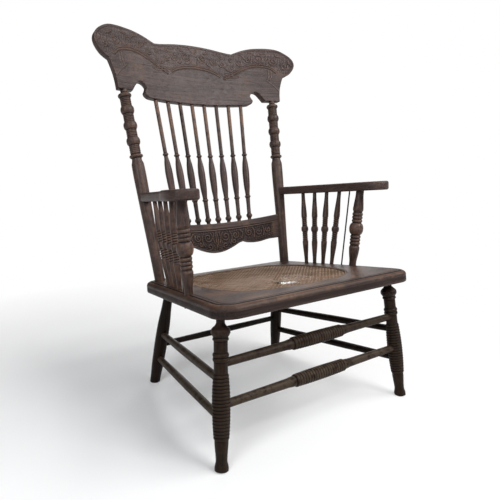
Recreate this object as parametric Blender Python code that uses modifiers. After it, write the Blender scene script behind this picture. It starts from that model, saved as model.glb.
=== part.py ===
"""A wide, low armchair with a caned seat, turned posts and spindles and a bowed crest rail.

The seat is four doweled boards around a caned opening, sloping down to the back.
Four turned legs, tied by stretchers, are bored into it from below.
Two back posts, two arm posts and two rows of arm spindles stand in it from above.
The crest rail and the lower back rail are bowed boards that hold eight spindles.

Metres, +Z up, the front faces -Y, left and right are as seen by someone facing the chair.
All places are worked out with the seat's front edge at y = 0, and the whole chair is moved at
the end, so that the origin lies on the floor below the middle of it.
"""
import math

import bmesh
import bpy
from mathutils import Matrix, Vector

# Fits
GAP = 0.0003                      # clearance between two pieces that touch
EASE = 0.0025                     # rounding along the edges of the arms

# Seat
SEAT_FRONT_WIDTH = 0.620
SEAT_REAR_WIDTH = 0.524
SEAT_DEPTH = 0.489                # along the sloping top
SEAT_THICKNESS = 0.031
SEAT_FRONT_HEIGHT = 0.3615
SEAT_TILT = math.radians(5.6)
SEAT_CORNER_RADIUS = 0.048
SEAT_NOSE = 0.011                 # rounding of the outer edge's top
SEAT_HEEL = 0.004                 # rounding of the outer edge's foot
SEAT_CORNER_STEPS = 5
FRONT_JOINT = 0.115               # from the front edge to the joint with the side rails
REAR_JOINT = 0.097                # from the rear edge to the joint with the side rails
DOWEL_RADIUS = 0.005
DOWEL_LENGTH = 0.050
DOWEL_SPACING = 0.046
DOWEL_INSET = 0.050               # from the seat's side edge to the outer dowel
DOWEL_SIDES = 8

# Caned opening, an oval with full shoulders
OPENING_WIDTH = 0.403
OPENING_DEPTH = 0.360
OPENING_MARGIN = 0.073            # from the seat's front edge to the opening
OPENING_SHAPE = 2.8               # exponent of the oval: 2 is an ellipse, more is squarer
OPENING_STEPS = 36
LEDGE_WIDTH = 0.009
LEDGE_DEPTH = 0.006
CANE_THICKNESS = 0.0016
SPLINE_RADIUS = 0.0024

# Front legs, from the floor up and from the seat down
FRONT_LEG_SIDE_INSET = 0.038      # from the seat's full front width
FRONT_LEG_FRONT_INSET = 0.061
FRONT_FOOT_OUT = 0.026
FRONT_FOOT_FORWARD = 0.038
FRONT_LEG_NECK = 0.0095
FRONT_LEG_SHAFT = 0.0152
FRONT_LEG_RING = 0.0176
FRONT_LEG_BULB = 0.0212
FRONT_LEG_BARREL = 0.0200
FRONT_LEG_BARREL_TAPER = 0.0030
FRONT_LEG_BARREL_START = 0.065    # along the leg, from the floor to the lowest rib
FRONT_LEG_BARREL_END = 0.124      # along the leg, from the seat to the highest rib
FRONT_LEG_ANKLE = 0.0127
FRONT_LEG_FOOT = 0.0153
FRONT_LEG_RIBS = 19
LEG_SIDES = 10
FOOT_ALLOWANCE = 0.006            # length that the cut along the floor takes off

# Rear legs
REAR_LEG_SIDE_INSET = 0.062       # from the seat's full rear width
REAR_LEG_REAR_INSET = 0.042
REAR_FOOT_OUT = 0.032
REAR_FOOT_BACK = 0.049
REAR_LEG_NECK = 0.0125
REAR_LEG_BELLY = 0.0186
REAR_LEG_FOOT = 0.0150
LEG_SOCKET = 0.013                # depth of a leg's bore in the seat

# Stretchers, heights of their axes where they meet the legs
FRONT_STRETCHER_HEIGHTS = {"lower": 0.135, "upper": 0.223}
SIDE_STRETCHER_HEIGHTS = {"lower": (0.106, 0.076), "upper": (0.187, 0.151)}
REAR_STRETCHER_HEIGHT = 0.118
FRONT_STRETCHER_RADIUS = 0.0095
FRONT_STRETCHER_SHOULDER = 0.0112
FRONT_STRETCHER_BARREL = 0.0162
FRONT_STRETCHER_BARREL_TAPER = 0.0012
FRONT_STRETCHER_BARREL_LENGTH = 0.162
FRONT_STRETCHER_COVE = 0.022      # length of the cove beside the barrel
FRONT_STRETCHER_RIBS = 20
SIDE_STRETCHER_RADIUS = 0.0090
REAR_STRETCHER_RADIUS = 0.0083
STRETCHER_SWELL = 0.0012          # a plain stretcher is this much thicker in the middle
STRETCHER_TENON = 0.009           # depth into a leg, from its face
STRETCHER_STRAIGHT = 0.040        # straight length beside a leg's axis
STRETCHER_SIDES = 8
RIB_DEPTH = 0.0014

# Back posts
BACK_RAKE = math.radians(12.5)
POST_SIDE_INSET = 0.033           # from the seat's full rear width
POST_REAR_INSET = 0.047
POST_SPREAD = math.radians(4.1)   # lean outwards, seen square to the back
POST_HEIGHT = 0.548               # from the seat to the crest rail, along the back
POST_FOOT_RADIUS = 0.0145
POST_SHAFT_RADIUS = 0.0183
POST_BALL_RADIUS = 0.0192
POST_NECK_RADIUS = 0.0138
POST_TENON_RADIUS = 0.0100
POST_TENON = 0.026
POST_SOCKET = 0.014               # depth of a back post's bore in the seat
POST_STRAIGHT = 0.010             # straight length above the seat
POST_TENON_SHOW = 0.008           # length of the tenon below the crest rail's tab
POST_SIDES = 10

# Crest rail, a board in the plane of the posts with its middle bowed back
CREST_THICKNESS = 0.022
CREST_BOW = 0.048
CREST_HEIGHT = 0.1700             # from the foot of the tabs to the top of the middle
CREST_WING_RISE = 0.0144          # of the wings above the middle
CREST_WING_REACH = 0.084          # of the wings outside the posts' axes
CREST_BELLY = 0.0233              # depth of the middle below the foot of the tabs
CREST_BELLY_RISE = 0.0080         # of the belly's edge towards the arches
CREST_TAB_OUTSIDE = 0.022         # of a tab outside the post's axis
CREST_TAB_WIDTH = 0.0505
CREST_NOTCH = 0.131               # from the middle to the notch beside the middle hump
CREST_NOTCH_DROP = 0.0132         # of the notch below the top of the middle
CREST_ARCH_HEIGHT = 0.0298
CREST_ARCH_WIDTH = 0.0500
CREST_SLICES = 10
CREST_STEPS = 2

# Lower back rail, bowed like the crest rail
RAIL_THICKNESS = 0.018
RAIL_BOW = 0.045
RAIL_HEIGHT = 0.093               # in the middle
RAIL_LIFT = 0.1505                # from the seat to the rail's top in the middle, along the back
RAIL_TOP_RISE = 0.0110            # of its top towards the posts
RAIL_CUSP = 0.100                 # from the middle to the cusp of the lower edge
RAIL_CUSP_HEIGHT = 0.028          # of the cusp above the middle lobe
RAIL_LOBE_HEIGHT = 0.0195         # of the outer lobes above the middle lobe
RAIL_END_HEIGHT = 0.0765
RAIL_MORTISE = 0.009              # from a post's axis to the rail's end
RAIL_SLICES = 8

# Back spindles
BACK_SPINDLES = 8
BACK_SPINDLE_PITCH_FOOT = 0.0377
BACK_SPINDLE_PITCH_TOP = 0.0447
BACK_SPINDLE_RADIUS = 0.0060
BACK_SPINDLE_VASE = 0.0112
BACK_SPINDLE_BEAD = 0.0085
BACK_SPINDLE_BALL = 0.0098
BACK_SPINDLE_FOOT_STRAIGHT = 0.004
BACK_SPINDLE_TOP_STRAIGHT = 0.008
SPINDLE_SOCKET = 0.012
SPINDLE_SIDES = 8

# Arms
ARM_ABOVE_SEAT = 0.2440           # top of the arm above the seat's top, at the arm post
ARM_SLOPE = math.radians(4.2)
ARM_THICKNESS = 0.025
ARM_NARROW = 0.029                # width at the back post
ARM_PADDLE = 0.079                # width at the front
ARM_PADDLE_SHIFT = 0.0095         # middle of the paddle outside the arm's centre line
ARM_OVERHANG = 0.080              # of the arm in front of the arm post's axis
ARM_FLARE = 0.130                 # from the arm post's axis back to the start of the flare
ARM_NOTCH = 0.003                 # depth of the flat seat cut in the back post
ARM_SOCKET = 0.016
ARM_STEPS = 2

# Arm posts
ARM_POST_SETBACK = 0.187          # from the seat's front edge
ARM_POST_SIDE_INSET = 0.015       # from the seat's side edge
ARM_POST_LEAN_OUT = 0.018
ARM_POST_LEAN_FORWARD = 0.005
ARM_POST_FOOT_RADIUS = 0.0102
ARM_POST_TOP_RADIUS = 0.0112
ARM_POST_VASE_RADIUS = 0.0150
ARM_POST_BALL_RADIUS = 0.0201
ARM_POST_RING_RADIUS = 0.0145
ARM_POST_RING_DEPTH = 0.0022
ARM_POST_SOCKET = 0.020
ARM_POST_STRAIGHT = 0.008         # straight length that shows at both ends
ARM_POST_SIDES = 10

# Arm spindles and tie rods, in a row from the back post to the arm post
ARM_SPINDLES = 4
ARM_SPINDLE_FIRST_FOOT = 0.3547   # shares of the way from the back post to the arm post,
ARM_SPINDLE_LAST_FOOT = 0.7190    # at the seat
ARM_SPINDLE_FIRST_TOP = 0.3309    # and at the arm
ARM_SPINDLE_LAST_TOP = 0.7728
ARM_SPINDLE_STRAIGHT = 0.006      # straight length that shows at both ends
ARM_SPINDLE_RADIUS = 0.0057
ARM_SPINDLE_BALL = 0.0112
ARM_SPINDLE_RING = 0.0074
ARM_SPINDLE_RING_DEPTH = 0.0013
ARM_SPINDLE_BULGE = 0.0091
TIE_ROD_RADIUS = 0.0021
TIE_ROD_FOOT = 0.8558             # shares of the way, as for the spindles
TIE_ROD_TOP = 0.8877
TIE_ROD_TAIL = 0.011              # length below the seat
NUT_RADIUS = 0.0060
NUT_HEIGHT = 0.0045

# Screws through the back posts into the arms
SCREW_RADIUS = 0.0022
SCREW_HEAD_RADIUS = 0.0042
SCREW_HEAD_HEIGHT = 0.0030
SCREW_GRIP = 0.028                # length in the arm
SCREW_SINK = 0.004                # depth of the head below the post's back
ROD_SIDES = 8

PARTS = "Spindle back armchair"
CUTTERS = "Cutters"
SIDES = {"left": -1, "right": 1}

OAK = ((0.085, 0.055, 0.042), 0.45, 0.0)
CANE = ((0.230, 0.150, 0.090), 0.60, 0.0)
STEEL = ((0.120, 0.115, 0.110), 0.40, 1.0)


# Scene, collections and materials

def clear_scene():
    for obj in list(bpy.data.objects):
        bpy.data.objects.remove(obj, do_unlink=True)


def make_collection(name, parent):
    collection = bpy.data.collections.new(name)
    parent.children.link(collection)
    return collection


def make_material(name, look):
    colour, roughness, metallic = look
    material = bpy.data.materials.new(name)
    material.use_nodes = True
    shader = material.node_tree.nodes["Principled BSDF"]
    shader.inputs["Base Color"].default_value = (*colour, 1.0)
    shader.inputs["Roughness"].default_value = roughness
    shader.inputs["Metallic"].default_value = metallic
    return material


class Bench:
    """Holds the parts, the empty that carries them and the cuts that are still to be made."""

    def __init__(self):
        self.parts = make_collection(PARTS, bpy.context.scene.collection)
        self.cutters = make_collection(CUTTERS, bpy.context.scene.collection)
        self.carrier = bpy.data.objects.new("chair_carrier", None)
        self.parts.objects.link(self.carrier)
        self.cuts = {}

    def add(self, obj, look):
        """Links a part, hangs it on the carrier and gives it a material of its own."""
        self.parts.objects.link(obj)
        obj.parent = self.carrier
        obj.data.materials.append(make_material(obj.name + " finish", look))
        return obj

    def carry(self, cutter):
        """Hangs a cutter on the carrier and shows it as wires."""
        cutter.parent = self.carrier
        cutter.hide_render = True
        cutter.display_type = "WIRE"

    def cut(self, target, cutter):
        """Notes that a cutter takes its shape out of a part."""
        self.carry(cutter)
        self.cuts.setdefault(target.name, []).append(cutter)

    def keep(self, target, cutter):
        """Keeps only what lies inside a cutter."""
        self.carry(cutter)
        self.cutters.objects.link(cutter)
        trim = target.modifiers.new("Sawn out", "BOOLEAN")
        trim.operation = "INTERSECT"
        trim.solver = "EXACT"
        trim.object = cutter

    def make_cuts(self):
        """Gives each part one Boolean that takes away all of its cutters."""
        for name, cutters in self.cuts.items():
            group = make_collection("Cuts in " + name, self.cutters)
            for cutter in cutters:
                group.objects.link(cutter)
            cut = bpy.data.objects[name].modifiers.new("Bores and mortises", "BOOLEAN")
            cut.operation = "DIFFERENCE"
            cut.solver = "EXACT"
            cut.operand_type = "COLLECTION"
            cut.collection = group


# Turned pieces

def turned(name, profile, foot, head, sides):
    """A turned piece: its profile is (distance from the foot, radius), its axis runs foot to head."""
    mesh = bpy.data.meshes.new(name)
    outline = [(0.0, profile[-1][0])]
    outline += [(radius, height) for height, radius in reversed(profile)]
    outline += [(0.0, profile[0][0])]
    verts = [(x, 0.0, z) for x, z in outline]
    mesh.from_pydata(verts, [(i, i + 1) for i in range(len(verts) - 1)], [])
    obj = bpy.data.objects.new(name, mesh)
    obj.location = foot
    obj.rotation_mode = "QUATERNION"
    obj.rotation_quaternion = Vector((0, 0, 1)).rotation_difference((head - foot).normalized())
    screw = obj.modifiers.new("Turning", "SCREW")
    screw.steps = screw.render_steps = sides
    screw.use_merge_vertices = True
    screw.merge_threshold = 0.0001
    return obj


def bore(bench, target, label, foot, head, section, sides):
    """A round hole along foot to head, a gap wider than the section that goes into it."""
    wider = [(distance, radius + GAP) for distance, radius in section]
    bench.cut(target, turned("cut " + label, wider, foot, head, sides))


def ribs(start, end, count, radius, depth, taper=0.0):
    """Rings side by side between two valleys, thinner by taper towards both ends."""
    points = []
    pitch = (end - start) / count
    for i in range(2 * count + 1):
        place = i / count - 1
        sink = depth if i % 2 == 0 else 0.0
        points.append((start + pitch * i / 2, radius - taper * place ** 2 - sink))
    return points


def ball(centre, half, low, high, steps=4):
    """A ball or bulb whose radius swells from low to high and back, over half a circle."""
    points = []
    for i in range(steps + 1):
        turn = math.pi * i / steps
        points.append((centre - half * math.cos(turn), low + (high - low) * math.sin(turn)))
    return points


def radius_at(profile, distance):
    """The radius of a turned piece at a distance from its foot."""
    for (low, first), (high, second) in zip(profile, profile[1:]):
        if low <= distance <= high:
            return first + (second - first) * (distance - low) / max(high - low, GAP)
    return profile[-1][1]


# Flat and bowed boards

def smooth_outline(points, steps):
    """A closed outline through (x, y, is_corner) points, with a cubic curve along each side.

    A smooth point's handles lie along the line between its neighbours, and are a third as
    long as the sides.  A corner's handles point at its neighbours.
    """
    spots = [Vector((x, y)) for x, y, corner in points]
    corners = [corner for x, y, corner in points]
    count = len(points)
    result = []
    for i in range(count):
        before, here = spots[i - 1], spots[i]
        there, after = spots[(i + 1) % count], spots[(i + 2) % count]
        side = there - here
        leave = side if corners[i] else there - before
        arrive = side if corners[(i + 1) % count] else after - here
        first = here + leave.normalized() * side.length / 3
        second = there - arrive.normalized() * side.length / 3
        pieces = 1 if corners[i] and corners[(i + 1) % count] else steps
        for k in range(pieces):
            t = k / pieces
            result.append(here * (1 - t) ** 3 + first * 3 * t * (1 - t) ** 2
                          + second * 3 * t ** 2 * (1 - t) + there * t ** 3)
    return result


def mirrored(half):
    """A whole outline from its right half, which runs from the middle's top to its foot."""
    return half + [(-x, y, corner) for x, y, corner in reversed(half[1:-1])]


def weld(mesh):
    """Joins a mesh's loose caps to its sides and shades its round stretches smooth."""
    work = bmesh.new()
    work.from_mesh(mesh)
    bmesh.ops.remove_doubles(work, verts=work.verts, dist=0.00005)
    bmesh.ops.recalc_face_normals(work, faces=work.faces)
    work.to_mesh(mesh)
    work.free()
    mesh.shade_smooth()
    mesh.set_sharp_from_angle(angle=math.radians(35))


def outlined_mesh(name, outline, thickness, ease=0.0):
    """A mesh of a flat outline in X and Y, centred on its thickness, with eased edges."""
    curve = bpy.data.curves.new(name, "CURVE")
    curve.dimensions = "2D"
    curve.fill_mode = "BOTH"
    curve.extrude = thickness / 2 - ease
    curve.bevel_depth = ease
    curve.bevel_resolution = 0
    curve.offset = -ease
    spline = curve.splines.new("POLY")
    spline.points.add(len(outline) - 1)
    for point, spot in zip(spline.points, outline):
        point.co = (spot[0], spot[1], 0.0, 1.0)
    spline.use_cyclic_u = True
    return mesh_of_curve(curve)


def mesh_of_curve(curve):
    """The welded mesh of a curve, which is removed."""
    helper = bpy.data.objects.new(curve.name, curve)
    bpy.context.scene.collection.objects.link(helper)
    graph = bpy.context.evaluated_depsgraph_get()
    mesh = bpy.data.meshes.new_from_object(helper.evaluated_get(graph))
    bpy.data.objects.remove(helper)
    bpy.data.curves.remove(curve)
    weld(mesh)
    return mesh


def round_rim(mesh, height, radius, segments):
    """Rounds the outer edge of a flat board, at one of its two faces."""
    work = bmesh.new()
    work.from_mesh(mesh)
    rim = [edge for edge in work.edges
           if all(abs(vert.co.z - height) < GAP for vert in edge.verts)
           and edge.calc_face_angle() > math.radians(45)]
    bmesh.ops.bevel(work, geom=rim, offset=radius, segments=segments, profile=0.5, affect="EDGES")
    work.to_mesh(mesh)
    work.free()


def bowed(bow, half_span, across):
    """How far back a bowed board lies: a parabola that is nought at the posts."""
    return bow * (1 - (across / half_span) ** 2)


def bowed_mesh(name, outline, thickness, bow, half_span, slices, climb=0.0):
    """A board cut to an outline of (across, up), bent so that its middle lies further back.

    Its middle also lies higher, by climb times as much as it lies further back.
    """
    mesh = outlined_mesh(name, outline, thickness)
    reach = max(spot[0] for spot in outline)
    work = bmesh.new()
    work.from_mesh(mesh)
    for i in range(1, slices):
        across = reach * (2 * i / slices - 1)
        geometry = work.verts[:] + work.edges[:] + work.faces[:]
        bmesh.ops.bisect_plane(work, geom=geometry, dist=0.00001,
                               plane_co=(across, 0, 0), plane_no=(1, 0, 0))
    bmesh.ops.triangulate(work, faces=work.faces)
    for vert in work.verts:
        across, up, deep = vert.co
        behind = bowed(bow, half_span, across)
        vert.co = (across, behind - deep, up + behind * climb)
    work.to_mesh(mesh)
    work.free()
    return mesh


def block(name, low, high):
    """A cutter: a box between two corners of its own frame."""
    work = bmesh.new()
    bmesh.ops.create_cube(work, size=1.0)
    size = Vector(high) - Vector(low)
    middle = (Vector(high) + Vector(low)) / 2
    bmesh.ops.scale(work, vec=size, verts=work.verts)
    bmesh.ops.translate(work, vec=middle, verts=work.verts)
    mesh = bpy.data.meshes.new(name)
    work.to_mesh(mesh)
    work.free()
    return bpy.data.objects.new(name, mesh)


# Places that the pieces share

def seat_place(across, back, above):
    """A point of the sloping seat: across it, back from its front edge, above its top."""
    y = back * math.cos(SEAT_TILT) + above * math.sin(SEAT_TILT)
    z = SEAT_FRONT_HEIGHT - back * math.sin(SEAT_TILT) + above * math.cos(SEAT_TILT)
    return Vector((across, y, z))


def seat_half_width(back):
    """Half the seat's width, that far back from its front edge."""
    share = back / SEAT_DEPTH
    return (SEAT_FRONT_WIDTH * (1 - share) + SEAT_REAR_WIDTH * share) / 2


def in_seat_frame(obj):
    """Puts an object's own X, Y and Z across the seat, back along it and square out of it."""
    obj.location = seat_place(0, 0, 0)
    obj.rotation_euler = (-SEAT_TILT, 0, 0)
    return obj


def back_place(across, behind, up):
    """A point of the raked back: across it, behind the posts' plane, up it from the seat."""
    start = seat_place(0, SEAT_DEPTH - POST_REAR_INSET, 0)
    y = start.y + behind * math.cos(BACK_RAKE) + up * math.sin(BACK_RAKE)
    z = start.z - behind * math.sin(BACK_RAKE) + up * math.cos(BACK_RAKE)
    return Vector((across, y, z))


def in_back_frame(obj, up):
    """Puts an object's own X, Y and Z across the back, behind it and up it."""
    obj.location = back_place(0, 0, up)
    obj.rotation_euler = (-BACK_RAKE, 0, 0)
    return obj


def post_across(up):
    """How far out a back post's axis is, that far up the back."""
    return SEAT_REAR_WIDTH / 2 - POST_SIDE_INSET + up * math.tan(POST_SPREAD)


def post_axis(side):
    """The foot and head of a back post's axis: at the seat's top and at the crest rail."""
    foot = back_place(side * post_across(0), 0, 0)
    return foot, back_place(side * post_across(POST_HEIGHT), 0, POST_HEIGHT)


def front_leg_axis(side):
    """The foot and head of a front leg's axis: on the floor and at the seat's underside."""
    across = side * (SEAT_FRONT_WIDTH / 2 - FRONT_LEG_SIDE_INSET)
    head = seat_place(across, FRONT_LEG_FRONT_INSET, -SEAT_THICKNESS)
    return Vector((head.x + side * FRONT_FOOT_OUT, head.y - FRONT_FOOT_FORWARD, 0)), head


def rear_leg_axis(side):
    """The foot and head of a rear leg's axis: on the floor and at the seat's underside."""
    across = side * (SEAT_REAR_WIDTH / 2 - REAR_LEG_SIDE_INSET)
    head = seat_place(across, SEAT_DEPTH - REAR_LEG_REAR_INSET, -SEAT_THICKNESS)
    return Vector((head.x + side * REAR_FOOT_OUT, head.y + REAR_FOOT_BACK, 0)), head


def at_height(axis, height):
    """The point of an axis at a height above the floor."""
    foot, head = axis
    return foot + (head - foot) * (height - foot.z) / (head.z - foot.z)


def arm_post_foot(side):
    """Where an arm post's axis meets the seat's top."""
    across = seat_half_width(ARM_POST_SETBACK) - ARM_POST_SIDE_INSET
    return seat_place(side * across, ARM_POST_SETBACK, 0)


def arm_post_head(side):
    """Where an arm post's axis meets the arm's underside."""
    rise = ARM_ABOVE_SEAT - ARM_THICKNESS * math.cos(ARM_SLOPE)
    return arm_post_foot(side) + Vector((side * ARM_POST_LEAN_OUT, -ARM_POST_LEAN_FORWARD, rise))


def arm_frame(side):
    """An arm's frame: its origin below the top, over the arm post, and its out, back and up."""
    up = Vector((0, math.sin(ARM_SLOPE), math.cos(ARM_SLOPE)))
    origin = arm_post_head(side) + up * ARM_THICKNESS / 2
    foot, head = post_axis(side)
    below, above = (foot - origin).dot(up), (head - origin).dot(up)
    target = foot + (head - foot) * below / (below - above)
    back = (target - origin).normalized()
    out = back.cross(up) * side
    return origin, out, back, up, (target - origin).length


def arm_place(side, along, outside, above):
    """A point of an arm: along it from the arm post, outside its centre line, above its middle."""
    origin, out, back, up, span = arm_frame(side)
    return origin + back * along + out * outside + up * above


def in_arm_frame(obj, side):
    """Puts an object's own Y back along an arm, its Z square out of the top."""
    origin, out, back, up, span = arm_frame(side)
    obj.location = origin
    obj.rotation_mode = "QUATERNION"
    obj.rotation_quaternion = Matrix((out * side, back, up)).transposed().to_quaternion()
    return obj


# Seat and cane

def seat_outline():
    """The seat's outline: a tapered board with four round corners."""
    front, rear = SEAT_FRONT_WIDTH / 2, SEAT_REAR_WIDTH / 2
    lean = math.atan((front - rear) / SEAT_DEPTH)
    radius = SEAT_CORNER_RADIUS
    front_tangent = radius * math.tan((math.pi / 2 + lean) / 2)
    rear_tangent = radius * math.tan((math.pi / 2 - lean) / 2)
    front_centre = Vector((front - front_tangent, radius))
    rear_centre = Vector((rear - rear_tangent, SEAT_DEPTH - radius))
    points = []
    for centre, start, turn in ((front_centre, -math.pi / 2, math.pi / 2 + lean),
                                (rear_centre, lean, math.pi / 2 - lean)):
        for i in range(SEAT_CORNER_STEPS + 1):
            angle = start + turn * i / SEAT_CORNER_STEPS
            points.append(centre + Vector((math.cos(angle), math.sin(angle))) * radius)
    return points + [Vector((-x, y)) for x, y in reversed(points)]


def oval(grow):
    """The outline of the caned opening, larger all round by grow."""
    wide, deep = OPENING_WIDTH / 2 + grow, OPENING_DEPTH / 2 + grow
    middle = OPENING_MARGIN + OPENING_DEPTH / 2
    power = 2 / OPENING_SHAPE
    points = []
    for i in range(OPENING_STEPS):
        turn = 2 * math.pi * i / OPENING_STEPS
        x, y = math.cos(turn), math.sin(turn)
        points.append((math.copysign(wide * abs(x) ** power, x),
                       middle + math.copysign(deep * abs(y) ** power, y)))
    return points


def make_seat(bench):
    """Four boards sawn from one outline, with the opening and its ledge cut out of them."""
    opening = outlined_mesh("cut opening", oval(0), SEAT_THICKNESS * 3)
    ledge = outlined_mesh("cut ledge", oval(LEDGE_WIDTH), LEDGE_DEPTH * 2)
    opening_cutter = in_seat_frame(bpy.data.objects.new("cut opening", opening))
    ledge_cutter = in_seat_frame(bpy.data.objects.new("cut ledge", ledge))
    wide, deep, thick = SEAT_FRONT_WIDTH, SEAT_DEPTH, SEAT_THICKNESS
    front, rear, half = FRONT_JOINT, SEAT_DEPTH - REAR_JOINT, GAP / 2
    regions = {
        "seat_front_rail": ((-wide, -deep), (wide, front - half)),
        "seat_rear_rail": ((-wide, rear + half), (wide, deep * 2)),
        "seat_left_rail": ((-wide, front + half), (0, rear - half)),
        "seat_right_rail": ((0, front + half), (wide, rear - half)),
    }
    rails = {}
    for name, (low, high) in regions.items():
        mesh = outlined_mesh(name, seat_outline(), SEAT_THICKNESS)
        mesh.transform(Matrix.Translation((0, 0, -SEAT_THICKNESS / 2)))
        round_rim(mesh, 0, SEAT_NOSE, 3)
        round_rim(mesh, -SEAT_THICKNESS, SEAT_HEEL, 1)
        board = bench.add(in_seat_frame(bpy.data.objects.new(name, mesh)), OAK)
        bench.keep(board, in_seat_frame(block("saw " + name, (*low, -thick * 2), (*high, thick))))
        bench.cut(board, opening_cutter)
        bench.cut(board, ledge_cutter)
        rails[name] = board
    return rails


def make_dowels(bench, rails):
    """Two dowels in each of the four joints of the seat."""
    joints = {"front": FRONT_JOINT, "rear": SEAT_DEPTH - REAR_JOINT}
    profile = [(0, DOWEL_RADIUS), (DOWEL_LENGTH, DOWEL_RADIUS)]
    hole = [(-GAP, DOWEL_RADIUS), (DOWEL_LENGTH + GAP, DOWEL_RADIUS)]
    for end, place in joints.items():
        for side_name, side in SIDES.items():
            for k, spot in enumerate(("outer", "inner")):
                across = side * (seat_half_width(place) - DOWEL_INSET - DOWEL_SPACING * k)
                foot = seat_place(across, place - DOWEL_LENGTH / 2, -SEAT_THICKNESS / 2)
                head = seat_place(across, place + DOWEL_LENGTH / 2, -SEAT_THICKNESS / 2)
                name = "dowel_" + end + "_" + side_name + "_" + spot
                bench.add(turned(name, profile, foot, head, DOWEL_SIDES), OAK)
                for rail in ("seat_" + end + "_rail", "seat_" + side_name + "_rail"):
                    bore(bench, rails[rail], name + " in " + rail, foot, head, hole, DOWEL_SIDES)


def make_cane(bench):
    """The caned panel lies on the ledge and the spline presses its rim down."""
    panel = outlined_mesh("cane_panel", oval(LEDGE_WIDTH - GAP), CANE_THICKNESS)
    panel.transform(Matrix.Translation((0, 0, GAP + CANE_THICKNESS / 2 - LEDGE_DEPTH)))
    bench.add(in_seat_frame(bpy.data.objects.new("cane_panel", panel)), CANE)
    curve = bpy.data.curves.new("cane_spline", "CURVE")
    curve.dimensions = "3D"
    curve.bevel_depth = SPLINE_RADIUS
    curve.bevel_resolution = 0
    path = oval(LEDGE_WIDTH - GAP - SPLINE_RADIUS)
    height = CANE_THICKNESS + 2 * GAP + SPLINE_RADIUS - LEDGE_DEPTH
    spline = curve.splines.new("POLY")
    spline.points.add(len(path) - 1)
    for point, (x, y) in zip(spline.points, path):
        point.co = (x, y, height, 1)
    spline.use_cyclic_u = True
    bench.add(in_seat_frame(bpy.data.objects.new("cane_spline", mesh_of_curve(curve))), CANE)


# Legs and stretchers

def front_leg_profile(length):
    """Flared foot, ribbed barrel, two twin rings, ring, bulb and a thin neck into the seat."""
    shaft = FRONT_LEG_SHAFT
    low, high = FRONT_LEG_BARREL_START, length - FRONT_LEG_BARREL_END
    profile = [(-FOOT_ALLOWANCE, FRONT_LEG_FOOT), (0.004, FRONT_LEG_FOOT), (0.020, FRONT_LEG_ANKLE),
               (low - 0.003, shaft)]
    profile += ribs(low, high, FRONT_LEG_RIBS, FRONT_LEG_BARREL, RIB_DEPTH, FRONT_LEG_BARREL_TAPER)
    profile += [(high + 0.006, shaft)]
    profile += ribs(length - 0.0975, length - 0.0790, 2, FRONT_LEG_RING, FRONT_LEG_RING - shaft)
    profile += [(length - 0.0540, shaft), (length - 0.0500, FRONT_LEG_RING),
                (length - 0.0450, FRONT_LEG_RING * 0.95), (length - 0.0350, FRONT_LEG_BULB),
                (length - 0.0300, FRONT_LEG_BULB * 0.96), (length - 0.0190, FRONT_LEG_NECK * 1.2),
                (length - 0.0150, FRONT_LEG_NECK), (length + LEG_SOCKET, FRONT_LEG_NECK)]
    return profile


def rear_leg_profile(length):
    """A plain turned leg, thickest in the middle."""
    return [(-FOOT_ALLOWANCE, REAR_LEG_FOOT), (0.004, REAR_LEG_FOOT),
            (length * 0.25, REAR_LEG_BELLY - 0.0008), (length * 0.45, REAR_LEG_BELLY),
            (length * 0.60, REAR_LEG_BELLY - 0.0006), (length - 0.045, REAR_LEG_NECK + 0.0012),
            (length - 0.008, REAR_LEG_NECK), (length + LEG_SOCKET, REAR_LEG_NECK)]


def make_legs(bench, rails):
    """Four legs in bores of the seat, cut level along the floor."""
    kinds = {"front": (front_leg_axis, front_leg_profile, FRONT_LEG_NECK),
             "rear": (rear_leg_axis, rear_leg_profile, REAR_LEG_NECK)}
    reach = SEAT_FRONT_WIDTH + SEAT_DEPTH
    floor = block("cut floor", (-reach, -reach, -reach), (reach, reach, 0))
    legs = {}
    for kind, (axis, shape, neck) in kinds.items():
        for side_name, side in SIDES.items():
            foot, head = axis(side)
            length = (head - foot).length
            profile = shape(length)
            name = kind + "_leg_" + side_name
            leg = bench.add(turned(name, profile, foot, head, LEG_SIDES), OAK)
            bench.cut(leg, floor)
            hole = [(length - LEG_SOCKET, neck), (length + LEG_SOCKET + GAP, neck)]
            bore(bench, rails["seat_" + kind + "_rail"], name, foot, head, hole, LEG_SIDES)
            legs[kind, side] = (leg, (foot, head), profile)
    return legs


def make_stretcher(bench, name, first, second, heights, end_radius, shape):
    """A stretcher between two legs, tenoned a little way into each."""
    ends = []
    for (leg, axis, profile), height in zip((first, second), heights):
        spot = at_height(axis, height)
        thick = radius_at(profile, (spot - axis[0]).length)
        ends.append((leg, spot, thick))
    foot, head = ends[0][1], ends[1][1]
    length = (head - foot).length
    start = ends[0][2] - STRETCHER_TENON
    end = length - ends[1][2] + STRETCHER_TENON
    bench.add(turned(name, shape(start, end, length), foot, head, STRETCHER_SIDES), OAK)
    near = [(start - GAP, end_radius), (STRETCHER_STRAIGHT, end_radius)]
    far = [(length - STRETCHER_STRAIGHT, end_radius), (end + GAP, end_radius)]
    bore(bench, ends[0][0], name + " near", foot, head, near, STRETCHER_SIDES)
    bore(bench, ends[1][0], name + " far", foot, head, far, STRETCHER_SIDES)


def plain_stretcher(radius):
    """The shape of a stretcher that is straight beside the legs and a little thicker between."""
    def shape(start, end, length):
        return [(start, radius), (STRETCHER_STRAIGHT, radius), (length / 2, radius + STRETCHER_SWELL),
                (length - STRETCHER_STRAIGHT, radius), (end, radius)]
    return shape


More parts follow.
